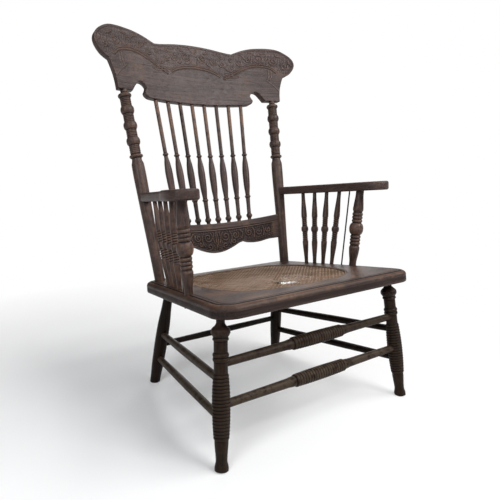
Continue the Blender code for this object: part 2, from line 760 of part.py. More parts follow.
def ribbed_stretcher(start, end, length):
    """The shape of a front stretcher: coves up to a ribbed barrel in the middle."""
    low = (length - FRONT_STRETCHER_BARREL_LENGTH) / 2
    high = length - low
    left = [(start, FRONT_STRETCHER_RADIUS), (STRETCHER_STRAIGHT, FRONT_STRETCHER_RADIUS),
            (low - FRONT_STRETCHER_COVE, FRONT_STRETCHER_SHOULDER),
            (low - FRONT_STRETCHER_COVE * 0.35, FRONT_STRETCHER_SHOULDER * 1.08)]
    right = [(length - place, radius) for place, radius in reversed(left[1:])]
    middle = ribs(low, high, FRONT_STRETCHER_RIBS, FRONT_STRETCHER_BARREL, RIB_DEPTH,
                  FRONT_STRETCHER_BARREL_TAPER)
    return left + middle + right + [(end, FRONT_STRETCHER_RADIUS)]


def make_stretchers(bench, legs):
    left_front, right_front = legs["front", -1], legs["front", 1]
    left_rear, right_rear = legs["rear", -1], legs["rear", 1]
    for level, height in FRONT_STRETCHER_HEIGHTS.items():
        make_stretcher(bench, "front_stretcher_" + level, left_front, right_front,
                       (height, height), FRONT_STRETCHER_RADIUS, ribbed_stretcher)
    for level, heights in SIDE_STRETCHER_HEIGHTS.items():
        for side_name, front, rear in (("left", left_front, left_rear), ("right", right_front, right_rear)):
            make_stretcher(bench, "side_stretcher_" + side_name + "_" + level, front, rear,
                           heights, SIDE_STRETCHER_RADIUS, plain_stretcher(SIDE_STRETCHER_RADIUS))
    make_stretcher(bench, "rear_stretcher", left_rear, right_rear,
                   (REAR_STRETCHER_HEIGHT, REAR_STRETCHER_HEIGHT), REAR_STRETCHER_RADIUS,
                   plain_stretcher(REAR_STRETCHER_RADIUS))


# Back

def post_profile(length):
    """Straight foot, long vase, bead, three balls and a collar under the crest rail's tab."""
    neck, top = POST_NECK_RADIUS, length
    profile = [(-POST_SOCKET, POST_FOOT_RADIUS), (POST_STRAIGHT, POST_FOOT_RADIUS),
               (top - 0.304, POST_SHAFT_RADIUS - 0.0007), (top - 0.249, POST_SHAFT_RADIUS),
               (top - 0.216, POST_SHAFT_RADIUS - 0.0006), (top - 0.2015, neck + 0.0004)]
    profile += ball(top - 0.191, 0.007, neck, POST_SHAFT_RADIUS + 0.0010, 3)
    profile += [(top - 0.174, neck)]
    for drop in (0.148, 0.103, 0.058):
        profile += ball(top - drop, 0.015, neck, POST_BALL_RADIUS)
    profile += [(top - 0.028, neck)]
    profile += ball(top - 0.0165, 0.006, neck, POST_BALL_RADIUS, 3)
    profile += [(top - POST_TENON_SHOW, POST_TENON_RADIUS), (top + POST_TENON, POST_TENON_RADIUS)]
    return profile


def make_posts(bench, rails):
    posts = {}
    for side_name, side in SIDES.items():
        foot, head = post_axis(side)
        profile = post_profile((head - foot).length)
        name = "back_post_" + side_name
        post = bench.add(turned(name, profile, foot, head, POST_SIDES), OAK)
        hole = [(-POST_SOCKET - GAP, POST_FOOT_RADIUS), (POST_STRAIGHT, POST_FOOT_RADIUS)]
        bore(bench, rails["seat_rear_rail"], name, foot, head, hole, POST_SIDES)
        posts[side] = (post, (foot, head), profile)
    return posts


def crest_belly(across):
    """The height of the crest rail's lower edge between its arches."""
    arch = post_across(POST_HEIGHT) + CREST_TAB_OUTSIDE - CREST_TAB_WIDTH - CREST_ARCH_WIDTH
    return CREST_BELLY_RISE * (across / arch) ** 2 - CREST_BELLY


def crest_outline():
    """Two wings and a middle hump above, a belly between two arches and two tabs below."""
    post = post_across(POST_HEIGHT)
    top, wing = CREST_HEIGHT, CREST_HEIGHT + CREST_WING_RISE
    notch, low = CREST_NOTCH, CREST_HEIGHT - CREST_NOTCH_DROP
    tip = post + CREST_WING_REACH
    tab_out = post + CREST_TAB_OUTSIDE
    tab_in = tab_out - CREST_TAB_WIDTH
    arch, rise = tab_in - CREST_ARCH_WIDTH, CREST_ARCH_HEIGHT
    width = CREST_ARCH_WIDTH
    reach = tip - notch
    half = [
        (0, top, False), (notch * 0.46, top - 0.0030, False), (notch - 0.009, low + 0.0015, True),
        (notch + 0.010, low, True),
        (notch + reach * 0.21, wing - 0.0129, False), (notch + reach * 0.35, wing - 0.0046, False),
        (notch + reach * 0.48, wing - 0.0010, False), (notch + reach * 0.64, wing, False),
        (notch + reach * 0.78, wing - 0.0045, False), (notch + reach * 0.91, wing - 0.0204, False),
        (notch + reach * 0.98, wing - 0.0370, False), (tip, wing - 0.0530, False),
        (tip - reach * 0.02, wing - 0.0690, False), (tip - reach * 0.08, wing - 0.0865, False),
        (tab_out + 0.0300, wing - 0.0960, False), (tab_out + 0.0195, wing - 0.1010, True),
        (tab_out + 0.0145, top * 0.42, False), (tab_out + 0.0065, top * 0.28, False),
        (tab_out + 0.0020, top * 0.14, False), (tab_out, 0, True), (tab_in, 0, True),
        (arch + width * 0.76, rise * 0.55, False), (arch + width * 0.58, rise * 0.88, False),
        (arch + width * 0.40, rise, False), (arch + width * 0.17, rise * 0.88, False),
        (arch, rise * 0.55, False), (arch + width * 0.06, rise * 0.25, False),
        (arch + width * 0.14, -0.0010, False), (arch + width * 0.04, -0.0100, False),
        (arch - 0.010, crest_belly(arch - 0.010) + 0.0005, False),
        (arch * 0.66, crest_belly(arch * 0.66), False), (arch * 0.33, crest_belly(arch * 0.33), False),
        (0, crest_belly(0), False),
    ]
    return smooth_outline(mirrored(half), CREST_STEPS)


def make_crest(bench, posts):
    """The crest rail, standing on the posts' tenons."""
    span = post_across(POST_HEIGHT)
    mesh = bowed_mesh("crest_rail", crest_outline(), CREST_THICKNESS, CREST_BOW, span, CREST_SLICES,
                      math.tan(BACK_RAKE))
    crest = bench.add(in_back_frame(bpy.data.objects.new("crest_rail", mesh), POST_HEIGHT), OAK)
    for side_name, side in SIDES.items():
        post, (foot, head), profile = posts[side]
        length = (head - foot).length
        hole = [(length - POST_TENON_SHOW / 2, POST_TENON_RADIUS),
                (length + POST_TENON + GAP, POST_TENON_RADIUS)]
        bore(bench, crest, "post tenon " + side_name, foot, head, hole, POST_SIDES)
    return crest


def rail_end():
    """How far out the lower back rail reaches, into the posts."""
    return post_across(RAIL_LIFT - RAIL_HEIGHT / 2) - RAIL_MORTISE


def rail_top(across):
    """The height of the lower back rail's top over its middle."""
    return RAIL_TOP_RISE * (across / rail_end()) ** 2


def rail_outline(grow):
    """A hollow top, a lower edge of one deep lobe between two shallow ones, larger by grow."""
    end, cusp = rail_end(), RAIL_CUSP
    lobe = RAIL_LOBE_HEIGHT - RAIL_HEIGHT - grow
    middle, notch = -RAIL_HEIGHT - grow, RAIL_CUSP_HEIGHT - RAIL_HEIGHT - grow
    foot = rail_top(end) - RAIL_END_HEIGHT - grow
    side = end - cusp
    half = [(0, grow, False), (end * 0.35, rail_top(end * 0.35) + grow, False),
            (end * 0.70, rail_top(end * 0.70) + grow, False), (end + grow, rail_top(end) + grow, True),
            (end + grow, foot, True), (end - side * 0.10, foot - 0.0015, False),
            (end - side * 0.34, lobe + 0.0055, False), (end - side * 0.62, lobe, False),
            (cusp + side * 0.14, lobe + 0.0025, False), (cusp, notch, True),
            (cusp * 0.82, notch - 0.0040, False), (cusp * 0.59, middle + 0.0140, False),
            (cusp * 0.38, middle + 0.0065, False), (cusp * 0.19, middle + 0.0018, False), (0, middle, False)]
    return smooth_outline(mirrored(half), 2)


def make_lower_rail(bench, posts):
    """The lower back rail, let into mortises of the posts."""
    span = post_across(RAIL_LIFT - RAIL_HEIGHT / 2)
    mesh = bowed_mesh("lower_back_rail", rail_outline(0), RAIL_THICKNESS, RAIL_BOW, span, RAIL_SLICES)
    rail = bench.add(in_back_frame(bpy.data.objects.new("lower_back_rail", mesh), RAIL_LIFT), OAK)
    larger = bowed_mesh("cut rail", rail_outline(GAP), RAIL_THICKNESS + 2 * GAP, RAIL_BOW, span, RAIL_SLICES)
    cutter = in_back_frame(bpy.data.objects.new("cut rail", larger), RAIL_LIFT)
    for side in SIDES.values():
        bench.cut(posts[side][0], cutter)
    return rail


def back_spindle_profile(length):
    """Ball, neck, bead, vase, bead and a long thin top."""
    thin = BACK_SPINDLE_RADIUS
    profile = [(-SPINDLE_SOCKET, thin), (BACK_SPINDLE_FOOT_STRAIGHT, thin)]
    profile += ball(0.0130, 0.0060, thin + 0.0004, BACK_SPINDLE_BALL, 3)
    profile += [(0.0440, thin + 0.0004), (0.0720, thin + 0.0010), (0.0765, BACK_SPINDLE_BEAD),
                (0.0810, thin + 0.0010)]
    profile += [(length * 0.30, BACK_SPINDLE_VASE * 0.90), (length * 0.41, BACK_SPINDLE_VASE),
                (length * 0.49, BACK_SPINDLE_VASE * 0.82), (length * 0.555, thin),
                (length * 0.567, BACK_SPINDLE_BEAD), (length * 0.579, thin),
                (length - BACK_SPINDLE_TOP_STRAIGHT, thin), (length + SPINDLE_SOCKET, thin)]
    return profile


def make_back_spindles(bench, crest, rail):
    """Eight spindles that fan out from the lower rail's top to the crest rail's belly."""
    rail_span = post_across(RAIL_LIFT - RAIL_HEIGHT / 2)
    crest_span = post_across(POST_HEIGHT)
    for i in range(BACK_SPINDLES):
        place = i - (BACK_SPINDLES - 1) / 2
        low, high = place * BACK_SPINDLE_PITCH_FOOT, place * BACK_SPINDLE_PITCH_TOP
        foot = back_place(low, bowed(RAIL_BOW, rail_span, low), RAIL_LIFT + rail_top(low))
        behind = bowed(CREST_BOW, crest_span, high)
        head = back_place(high, behind, POST_HEIGHT + crest_belly(high) + behind * math.tan(BACK_RAKE))
        length = (head - foot).length
        name = "back_spindle_" + str(i + 1)
        bench.add(turned(name, back_spindle_profile(length), foot, head, SPINDLE_SIDES), OAK)
        thin = BACK_SPINDLE_RADIUS
        lower = [(-SPINDLE_SOCKET - GAP, thin), (BACK_SPINDLE_FOOT_STRAIGHT, thin)]
        upper = [(length - BACK_SPINDLE_TOP_STRAIGHT, thin), (length + SPINDLE_SOCKET + GAP, thin)]
        bore(bench, rail, name + " foot", foot, head, lower, SPINDLE_SIDES)
        bore(bench, crest, name + " head", foot, head, upper, SPINDLE_SIDES)


# Arms

def arm_outline(side, end):
    """Narrow at the back post, flaring into a round paddle that overhangs the arm post."""
    narrow, half, shift = ARM_NARROW / 2, ARM_PADDLE / 2, ARM_PADDLE_SHIFT
    front, flare = ARM_OVERHANG, ARM_FLARE
    outer, inner = shift + half - narrow, half - shift - narrow
    points = [
        (narrow, end, True), (narrow, flare, False), (narrow + outer * 0.17, flare * 0.66, False),
        (narrow + outer * 0.58, flare * 0.33, False), (narrow + outer * 0.90, flare * 0.06, False),
        (shift + half, -front * 0.25, False), (shift + half * 0.93, -front * 0.60, False),
        (shift + half * 0.64, -front * 0.87, False), (shift + half * 0.15, -front, False),
        (shift - half * 0.35, -front * 0.965, False), (shift - half * 0.76, -front * 0.80, False),
        (shift - half * 0.96, -front * 0.52, False), (shift - half, -front * 0.20, False),
        (-narrow - inner * 0.85, flare * 0.15, False), (-narrow - inner * 0.45, flare * 0.45, False),
        (-narrow - inner * 0.12, flare * 0.75, False), (-narrow, flare, False), (-narrow, end, True),
    ]
    return smooth_outline([(side * x, y, corner) for x, y, corner in points], ARM_STEPS)


def make_arms(bench, posts):
    """Each arm ends in a flat seat on the front of the back post."""
    arms = {}
    for side_name, side in SIDES.items():
        post, (foot, head), profile = posts[side]
        origin, out, back, up, span = arm_frame(side)
        target = arm_place(side, span, 0, 0)
        thick = radius_at(profile, (target - foot).length)
        end = span - thick + ARM_NOTCH
        name = "arm_" + side_name
        mesh = outlined_mesh(name, arm_outline(side, end), ARM_THICKNESS, EASE)
        arm = bench.add(in_arm_frame(bpy.data.objects.new(name, mesh), side), OAK)
        wide, tall = ARM_NARROW / 2 + GAP, ARM_THICKNESS / 2 + GAP
        seat = block("cut arm seat " + side_name, (-wide, end - thick, -tall), (wide, end + GAP, tall))
        bench.cut(post, in_arm_frame(seat, side))
        arms[side] = (arm, end, thick)
    return arms


def make_arm_screws(bench, posts, arms):
    """One screw a side, sunk in the back of the post and driven into the arm's end."""
    for side_name, side in SIDES.items():
        arm, end, thick = arms[side]
        start = arm_place(side, arm_frame(side)[4] + thick, 0, 0)
        tip = arm_place(side, end - SCREW_GRIP, 0, 0)
        length = (tip - start).length
        shank, wide = SCREW_RADIUS, SCREW_HEAD_RADIUS
        profile = [(SCREW_SINK, wide), (SCREW_SINK + SCREW_HEAD_HEIGHT, shank), (length, shank)]
        hole = [(-SCREW_SINK, wide), (SCREW_SINK, wide), (SCREW_SINK + SCREW_HEAD_HEIGHT, shank),
                (length + GAP, shank)]
        name = "arm_screw_" + side_name
        bench.add(turned(name, profile, start, tip, ROD_SIDES), STEEL)
        for wood in (posts[side][0], arm):
            bore(bench, wood, name, start, tip, hole, ROD_SIDES)


def arm_post_profile(length):
    """Vase, three rings, ball, three rings, vase."""
    ring, vase = ARM_POST_RING_RADIUS, ARM_POST_VASE_RADIUS
    middle = length * 0.495
    straight = ARM_POST_STRAIGHT
    profile = [(-ARM_POST_SOCKET, ARM_POST_FOOT_RADIUS), (straight, ARM_POST_FOOT_RADIUS),
               (middle - 0.070, vase * 0.93), (middle - 0.056, vase)]
    profile += ribs(middle - 0.0475, middle - 0.0185, 3, ring, ARM_POST_RING_DEPTH)
    profile += ball(middle, 0.0165, ring - ARM_POST_RING_DEPTH, ARM_POST_BALL_RADIUS, 6)
    profile += ribs(middle + 0.0185, middle + 0.0475, 3, ring, ARM_POST_RING_DEPTH)
    profile += [(middle + 0.056, vase), (middle + 0.070, vase * 0.93),
                (length - straight, ARM_POST_TOP_RADIUS), (length + ARM_SOCKET, ARM_POST_TOP_RADIUS)]
    return profile


def make_arm_posts(bench, rails, arms):
    for side_name, side in SIDES.items():
        foot, head = arm_post_foot(side), arm_post_head(side)
        length = (head - foot).length
        name = "arm_post_" + side_name
        bench.add(turned(name, arm_post_profile(length), foot, head, ARM_POST_SIDES), OAK)
        lower = [(-ARM_POST_SOCKET - GAP, ARM_POST_FOOT_RADIUS), (ARM_POST_STRAIGHT, ARM_POST_FOOT_RADIUS)]
        upper = [(length - ARM_POST_STRAIGHT, ARM_POST_TOP_RADIUS),
                 (length + ARM_SOCKET + GAP, ARM_POST_TOP_RADIUS)]
        bore(bench, rails["seat_" + side_name + "_rail"], name, foot, head, lower, ARM_POST_SIDES)
        bore(bench, arms[side][0], name, foot, head, upper, ARM_POST_SIDES)


def arm_row_place(side, low, high):
    """The foot and head of a piece in the row, by shares of the way along the seat and the arm."""
    foot = post_axis(side)[0].lerp(arm_post_foot(side), low)
    head = arm_place(side, arm_frame(side)[4] * (1 - high), 0, -ARM_THICKNESS / 2)
    return foot, head


def arm_spindle_profile(length):
    """Thin foot, bulge, three rings, ball, three rings, bulge and a thin top."""
    thin, ring = ARM_SPINDLE_RADIUS, ARM_SPINDLE_RING
    middle = length * 0.486
    profile = [(-SPINDLE_SOCKET, thin), (ARM_SPINDLE_STRAIGHT, thin), (middle - 0.037, ARM_SPINDLE_BULGE)]
    profile += ribs(middle - 0.0320, middle - 0.0115, 3, ring, ARM_SPINDLE_RING_DEPTH)
    profile += ball(middle, 0.0100, ring - ARM_SPINDLE_RING_DEPTH, ARM_SPINDLE_BALL)[1:-1]
    profile += ribs(middle + 0.0115, middle + 0.0320, 3, ring, ARM_SPINDLE_RING_DEPTH)
    profile += [(middle + 0.037, ARM_SPINDLE_BULGE), (length - ARM_SPINDLE_STRAIGHT, thin),
                (length + SPINDLE_SOCKET, thin)]
    return profile


def make_arm_spindles(bench, rails, arms):
    """Four spindles a side that fan out from the seat to the arm."""
    for side_name, side in SIDES.items():
        for i in range(ARM_SPINDLES):
            share = i / (ARM_SPINDLES - 1)
            low = ARM_SPINDLE_FIRST_FOOT * (1 - share) + ARM_SPINDLE_LAST_FOOT * share
            high = ARM_SPINDLE_FIRST_TOP * (1 - share) + ARM_SPINDLE_LAST_TOP * share
            foot, head = arm_row_place(side, low, high)
            length = (head - foot).length
            name = "arm_spindle_" + side_name + "_" + str(i + 1)
            bench.add(turned(name, arm_spindle_profile(length), foot, head, SPINDLE_SIDES), OAK)
            thin = ARM_SPINDLE_RADIUS
            lower = [(-SPINDLE_SOCKET - GAP, thin), (ARM_SPINDLE_STRAIGHT, thin)]
            upper = [(length - ARM_SPINDLE_STRAIGHT, thin), (length + SPINDLE_SOCKET + GAP, thin)]
            for rail in ("seat_" + side_name + "_rail", "seat_rear_rail"):
                bore(bench, rails[rail], name + " in " + rail, foot, head, lower, SPINDLE_SIDES)
            bore(bench, arms[side][0], name, foot, head, upper, SPINDLE_SIDES)


def make_tie_rods(bench, rails, arms):
    """A thin rod a side ties the arm to the seat, with a nut below the seat."""
    square = seat_place(0, 0, 1) - seat_place(0, 0, 0)
    for side_name, side in SIDES.items():
        foot, head = arm_row_place(side, TIE_ROD_FOOT, TIE_ROD_TOP)
        length = (head - foot).length
        slant = (head - foot).normalized().dot(square)
        below = SEAT_THICKNESS / slant
        tail = below + TIE_ROD_TAIL
        name = "arm_tie_rod_" + side_name
        profile = [(-tail, TIE_ROD_RADIUS), (length + ARM_SOCKET, TIE_ROD_RADIUS)]
        bench.add(turned(name, profile, foot, head, ROD_SIDES), STEEL)
        through = [(-tail - GAP, TIE_ROD_RADIUS), (TIE_ROD_TAIL, TIE_ROD_RADIUS)]
        upper = [(length - TIE_ROD_TAIL, TIE_ROD_RADIUS), (length + ARM_SOCKET + GAP, TIE_ROD_RADIUS)]
        tilt = NUT_RADIUS * math.sqrt(1 / slant ** 2 - 1)
        top = -below - tilt - GAP
        flats = [(top - NUT_HEIGHT, NUT_RADIUS), (top, NUT_RADIUS)]
        nut = bench.add(turned("tie_rod_nut_" + side_name, flats, foot, head, 6), STEEL)
        for piece in (rails["seat_" + side_name + "_rail"], nut):
            bore(bench, piece, name + " in " + piece.name, foot, head, through, ROD_SIDES)
        bore(bench, arms[side][0], name, foot, head, upper, ROD_SIDES)


# The whole chair

def centre_on_floor(bench):
    """Moves the carrier so that the origin lies below the middle of the chair's box."""
    bpy.context.view_layer.update()
    graph = bpy.context.evaluated_depsgraph_get()
    low, high = math.inf, -math.inf
    for obj in bench.parts.objects:
        if obj.type == "MESH":
            shape = obj.evaluated_get(graph)
            for vert in shape.data.vertices:
                y = (shape.matrix_world @ vert.co).y
                low, high = min(low, y), max(high, y)
    bench.carrier.location.y = -(low + high) / 2


def main():
    clear_scene()
    bench = Bench()
    rails = make_seat(bench)
    make_dowels(bench, rails)
    make_cane(bench)
    legs = make_legs(bench, rails)
    make_stretchers(bench, legs)
    posts = make_posts(bench, rails)
    crest = make_crest(bench, posts)
    lower_rail = make_lower_rail(bench, posts)
    make_back_spindles(bench, crest, lower_rail)
    arms = make_arms(bench, posts)
    make_arm_screws(bench, posts, arms)
    make_arm_posts(bench, rails, arms)
    make_arm_spindles(bench, rails, arms)
    make_tie_rods(bench, rails, arms)
    bench.make_cuts()
    centre_on_floor(bench)


main()
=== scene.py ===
"""Looks of a worn spindle back armchair with a caned seat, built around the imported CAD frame.

Metres, +Z up, the chair faces -Y.  Every piece is a surface worked out with numpy.  Profiles,
outlines and carving are drawn in millimetres, which MM turns into metres.
"""

import math
import zlib

import bpy
import numpy as np
from mathutils import Matrix, Vector
from mathutils.geometry import delaunay_2d_cdt
from mathutils.kdtree import KDTree


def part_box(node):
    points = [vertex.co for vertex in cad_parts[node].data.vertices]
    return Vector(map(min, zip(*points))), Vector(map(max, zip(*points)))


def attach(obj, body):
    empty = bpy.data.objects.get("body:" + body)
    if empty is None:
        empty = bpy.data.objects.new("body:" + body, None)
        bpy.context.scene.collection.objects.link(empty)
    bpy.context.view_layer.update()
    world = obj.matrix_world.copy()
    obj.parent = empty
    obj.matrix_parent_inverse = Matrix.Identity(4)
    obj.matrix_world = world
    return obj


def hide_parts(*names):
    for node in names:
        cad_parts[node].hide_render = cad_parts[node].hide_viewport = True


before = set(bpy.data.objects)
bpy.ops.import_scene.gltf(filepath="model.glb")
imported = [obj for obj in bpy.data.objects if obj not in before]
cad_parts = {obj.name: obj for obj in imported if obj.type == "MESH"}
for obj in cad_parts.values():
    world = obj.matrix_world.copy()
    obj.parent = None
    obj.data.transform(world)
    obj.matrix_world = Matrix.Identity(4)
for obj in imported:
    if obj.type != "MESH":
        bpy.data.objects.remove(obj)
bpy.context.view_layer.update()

bl_info = {
    "name": "Spindle Back Armchair",
    "version": (1, 0, 0),
    "blender": (4, 5, 0),
    "location": "3D View > Sidebar > Armchair",
    "description": "Turned, carved and caned pieces of an old armchair",
    "category": "Add Mesh",
}

MM = 0.001
CORNER = True                     # third value of an outline's point that isn't smooth

# Sizes that the CAD pieces share
SEAT_TILT = math.radians(5.6)
SEAT_DEPTH = 0.489
SEAT_FRONT = 0.620
SEAT_REAR = 0.524
SEAT_THICK = 0.031
SEAT_HEIGHT = 0.3615
SEAT_CORNER = 0.048
SEAT_HEEL = 0.004
FRONT_JOINT = 0.115
REAR_JOINT = 0.392
JOINT_GAP = 0.00015
OPENING = (0.2015, 0.180)
OPENING_MIDDLE = 0.253
OPENING_POWER = 2.8
LEDGE = 0.009
LEDGE_DEPTH = 0.006
CANE_LEVEL = -0.0049
RAKE = math.radians(12.5)
BACK_START = 0.442
SPREAD = math.tan(math.radians(4.1))
POST_FOOT_ACROSS = 0.229
POST_LENGTH = 0.548
CREST_BOW = 0.048
CREST_THICK = 0.022
RAIL_LIFT = 0.1505
RAIL_CENTRE = RAIL_LIFT - 0.0465
RAIL_BOW = 0.045
RAIL_HOLLOW = 11.0                # millimetres that its top falls to its middle
RAIL_THICK = 0.018
ARM_SLOPE = math.radians(4.2)
ARM_THICK = 0.025
ARM_SOCKET = 0.016
FLOOR_TOUCH = 0.0002
FLOOR_DROP = -0.0004
FLOOR_REACH = 14.0
CAP_DEPTH = 0.0008                # of a CAD turning's end cap, to find its corners

# How the surfaces are made and shaded
BLUR = 0.007                      # length of the running mean that finds a turning's hollows
TURNED_HOLLOW = 0.0012            # depth of a turning's full hollow
CARVED_HOLLOW = 0.00035           # depth of a carving's full hollow below its neighbourhood
CARVED_RISE = 0.0030              # height of carving that is a full high spot by itself
BACK_SPACING = 0.009              # between the points on a board's plain back
ROW_STEP = 0.866                  # between the rows of a staggered grid, in spacings
CLEAR_OF_RIM = 0.55               # least distance of its points from the outline, in spacings
WAVES = 9                         # sines in a ripple
WAVES_PEAK = 3.6                  # what their sum seldom passes
SCROLL_SHRINK = 0.82              # share of its radius that a scroll loses
LEAF_BOW = 3.0                    # millimetres


# Numbers and curves

def seeded(name):
    """A random source that depends only on a name."""
    return np.random.default_rng(zlib.crc32(name.encode()))


def unit(rows):
    """Each row divided by its length."""
    return rows / np.maximum(np.linalg.norm(rows, axis=-1, keepdims=True), 1e-12)


def run_of(points):
    """The length along a line of points, up to each of them."""
    return np.concatenate([[0], np.cumsum(np.linalg.norm(np.diff(points, axis=0), axis=1))])


def flowing(knots, t):
    """A smooth curve through (place, value) knots that never overshoots them.

    Each stretch is a Hermite cubic, whose slope at a knot is the harmonic mean of the
    slopes beside it, or nought at a turning point.
    """
    x, y = np.array(knots, float).T
    slope = np.diff(y) / np.diff(x)
    tangent = np.zeros_like(y)
    same = slope[:-1] * slope[1:] > 0
    total = np.where(same, slope[:-1] + slope[1:], 1.0)
    tangent[1:-1] = np.where(same, 2 * slope[:-1] * slope[1:] / total, 0.0)
    i = np.clip(np.searchsorted(x, t) - 1, 0, len(x) - 2)
    width = x[i + 1] - x[i]
    s = np.clip((t - x[i]) / width, 0, 1)
    return ((1 + 2 * s) * (1 - s) ** 2 * y[i] + s * (1 - s) ** 2 * width * tangent[i]
            + s * s * (3 - 2 * s) * y[i + 1] + s * s * (s - 1) * width * tangent[i + 1])


def bead(r, t, centre, half, low, high):
    """Raises a radius to half an ellipse, low + (high - low) * sqrt(1 - ((t - centre) / half)^2).

    The half ellipse starts at low, which may lie under the surface.
    """
    place = np.clip(np.abs((t - centre) / half), 0, 1)
    return np.where(place < 1, np.maximum(r, low + (high - low) * np.sqrt(1 - place ** 2)), r)


def groove(r, t, centre, half, depth):
    """Sinks a radius by a parabola, depth * (1 - ((t - centre) / half)^2)."""
    return r - depth * np.maximum(0, 1 - ((t - centre) / half) ** 2)


def ribbed(r, t, start, end, count, high, depth, taper):
    """Rings side by side, round on top: each falls by depth times the cube of its own place."""
    phase = np.clip((t - start) / (end - start), 0, 1)
    place = np.abs(2 * ((phase * count) % 1) - 1)
    top = high - taper * (2 * phase - 1) ** 2
    return np.where((t >= start) & (t <= end), top - depth * place ** 3, r)


def smooth_outline(points, steps):
    """A closed outline through (x, y) or (x, y, CORNER) points, a cubic Bezier along each side.

    A smooth point's handles lie along the line between its neighbours and are a third as
    long as the sides, and a corner's handles point at its neighbours.
    """
    spots = np.array([point[:2] for point in points])
    corner = np.array([len(point) > 2 for point in points])[:, None]
    ahead, behind = np.roll(spots, -1, 0), np.roll(spots, 1, 0)
    side = ahead - spots
    length = np.linalg.norm(side, axis=1, keepdims=True) / 3
    leave = unit(np.where(corner, side, ahead - behind)) * length
    arrive = unit(np.where(np.roll(corner, -1, 0), side, np.roll(spots, -2, 0) - spots)) * length
    t = (np.arange(steps) / steps)[None, :, None]
    first, second = (spots + leave)[:, None], (ahead - arrive)[:, None]
    curve = (spots[:, None] * (1 - t) ** 3 + first * 3 * t * (1 - t) ** 2
             + second * 3 * t ** 2 * (1 - t) + ahead[:, None] * t ** 3)
    return curve.reshape(-1, 2)


def mirrored(half):
    """A right half's points and their mirror images, as one closed round."""
    return half + [(-x, y, *corner) for x, y, *corner in reversed(half[1:-1])]


def anticlockwise(outline):
    """An outline in the direction that gives it a positive area."""
    x, y = outline.T
    area = (x * np.roll(y, -1) - y * np.roll(x, -1)).sum()
    return outline if area > 0 else outline[::-1]


def blurred(values, width):
    """A running mean over a row of values, its ends held."""
    width = max(3, width | 1)
    padded = np.pad(values, width // 2, mode="edge")
    return np.convolve(padded, np.ones(width) / width, mode="valid")


def ripple(x, y, seed, size):
    """Smooth random waves between about -1 and 1: a sum of sines in random directions."""
    source = np.random.default_rng(seed)
    total = np.zeros_like(x)
    for _ in range(WAVES):
        turn, start = source.uniform(0, 2 * math.pi, 2)
        pitch = size * source.uniform(0.6, 1.5)
        total += np.sin((x * math.cos(turn) + y * math.sin(turn)) * 2 * math.pi / pitch + start)
    return total / WAVES_PEAK


def near_lines(x, y, lines, margin=12.0, far=1000.0):
    """The distance from every point to the nearest segment of some lines, or far off their margin."""
    flat = np.stack([x.ravel(), y.ravel()], 1)
    best = np.full(len(flat), far)
    for line in lines:
        start, step = line[:-1], np.diff(line, axis=0)
        low, high = line.min(0) - margin, line.max(0) + margin
        close = np.flatnonzero(((flat > low) & (flat < high)).all(1))
        offset = flat[close, None] - start[None]
        share = np.clip((offset * step).sum(-1) / np.maximum((step ** 2).sum(-1), 1e-12), 0, 1)
        gap = np.linalg.norm(offset - share[..., None] * step, axis=-1)
        best[close] = np.minimum(best[close], gap.min(1))
    return best.reshape(x.shape)


def arc_line(points, count=40):
    """A smooth open line through a few points, each coordinate a flowing curve of its place."""
    points = np.array(points, float)
    run = run_of(points)
    t = np.linspace(0, run[-1], count)
    return np.stack([flowing(np.stack([run, points[:, k]], 1), t) for k in (0, 1)], 1)


def scroll(x, y, radius, turn, sweep, count=36):
    """A spiral whose radius shrinks evenly with its angle."""
    s = np.linspace(0, 1, count)
    angle = turn + sweep * s
    reach = radius * (1 - SCROLL_SHRINK * s)
    return np.stack([x + reach * np.cos(angle), y + reach * np.sin(angle)], 1)


def leaf(x, y, length, turn):
    """A short line about a point, bowed by a parabola."""
    s = np.linspace(-1, 1, 9)
    run, bow = length / 2 * s, LEAF_BOW * s ** 2
    return np.stack([x + run * math.cos(turn) - bow * math.sin(turn),
                     y + run * math.sin(turn) + bow * math.cos(turn)], 1)


# Places

FRONT_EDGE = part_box("seat_front_rail")[0][1] + (SEAT_THICK - SEAT_HEEL) * math.sin(SEAT_TILT)


def seat_place(across, back, above):
    """A point of the sloping seat: across it, back from its front edge, above its top."""
    y = back * math.cos(SEAT_TILT) + above * math.sin(SEAT_TILT) + FRONT_EDGE
    z = SEAT_HEIGHT - back * math.sin(SEAT_TILT) + above * math.cos(SEAT_TILT)
    return np.stack(np.broadcast_arrays(across, y, z), -1)


def back_place(across, behind, up):
    """A point of the raked back: across it, behind the posts' plane, up it from the seat."""
    y = (BACK_START * math.cos(SEAT_TILT) + FRONT_EDGE + behind * math.cos(RAKE)
         + up * math.sin(RAKE))
    z = (SEAT_HEIGHT - BACK_START * math.sin(SEAT_TILT) - behind * math.sin(RAKE)
         + up * math.cos(RAKE))
    return np.stack(np.broadcast_arrays(across, y, z), -1)


def post_across(up):
    """How far from the middle a back post's axis lies at a place up the back."""
    return POST_FOOT_ACROSS + up * SPREAD


def crest_place(x, y, z):
    """A point of the crest rail, whose bow is a parabola and runs level."""
    behind = CREST_BOW * (1 - (x / post_across(POST_LENGTH)) ** 2)
    return back_place(x, behind - z, POST_LENGTH + y + behind * math.tan(RAKE))


def rail_place(x, y, z):
    """A point of the lower rail, whose bow is a parabola square to the back."""
    behind = RAIL_BOW * (1 - (x / post_across(RAIL_CENTRE)) ** 2)
    return back_place(x, behind - z, RAIL_LIFT + y)


def cad_points(node):
    """All corners of a CAD node's mesh."""
    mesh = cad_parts[node].data
    flat = np.empty(len(mesh.vertices) * 3, np.float32)
    mesh.vertices.foreach_get("co", flat)
    return flat.reshape(-1, 3).astype(float)


def middle_of(points):
    """The mean of some points, each place counted once."""
    return np.unique(np.round(points, 6), axis=0).mean(0)


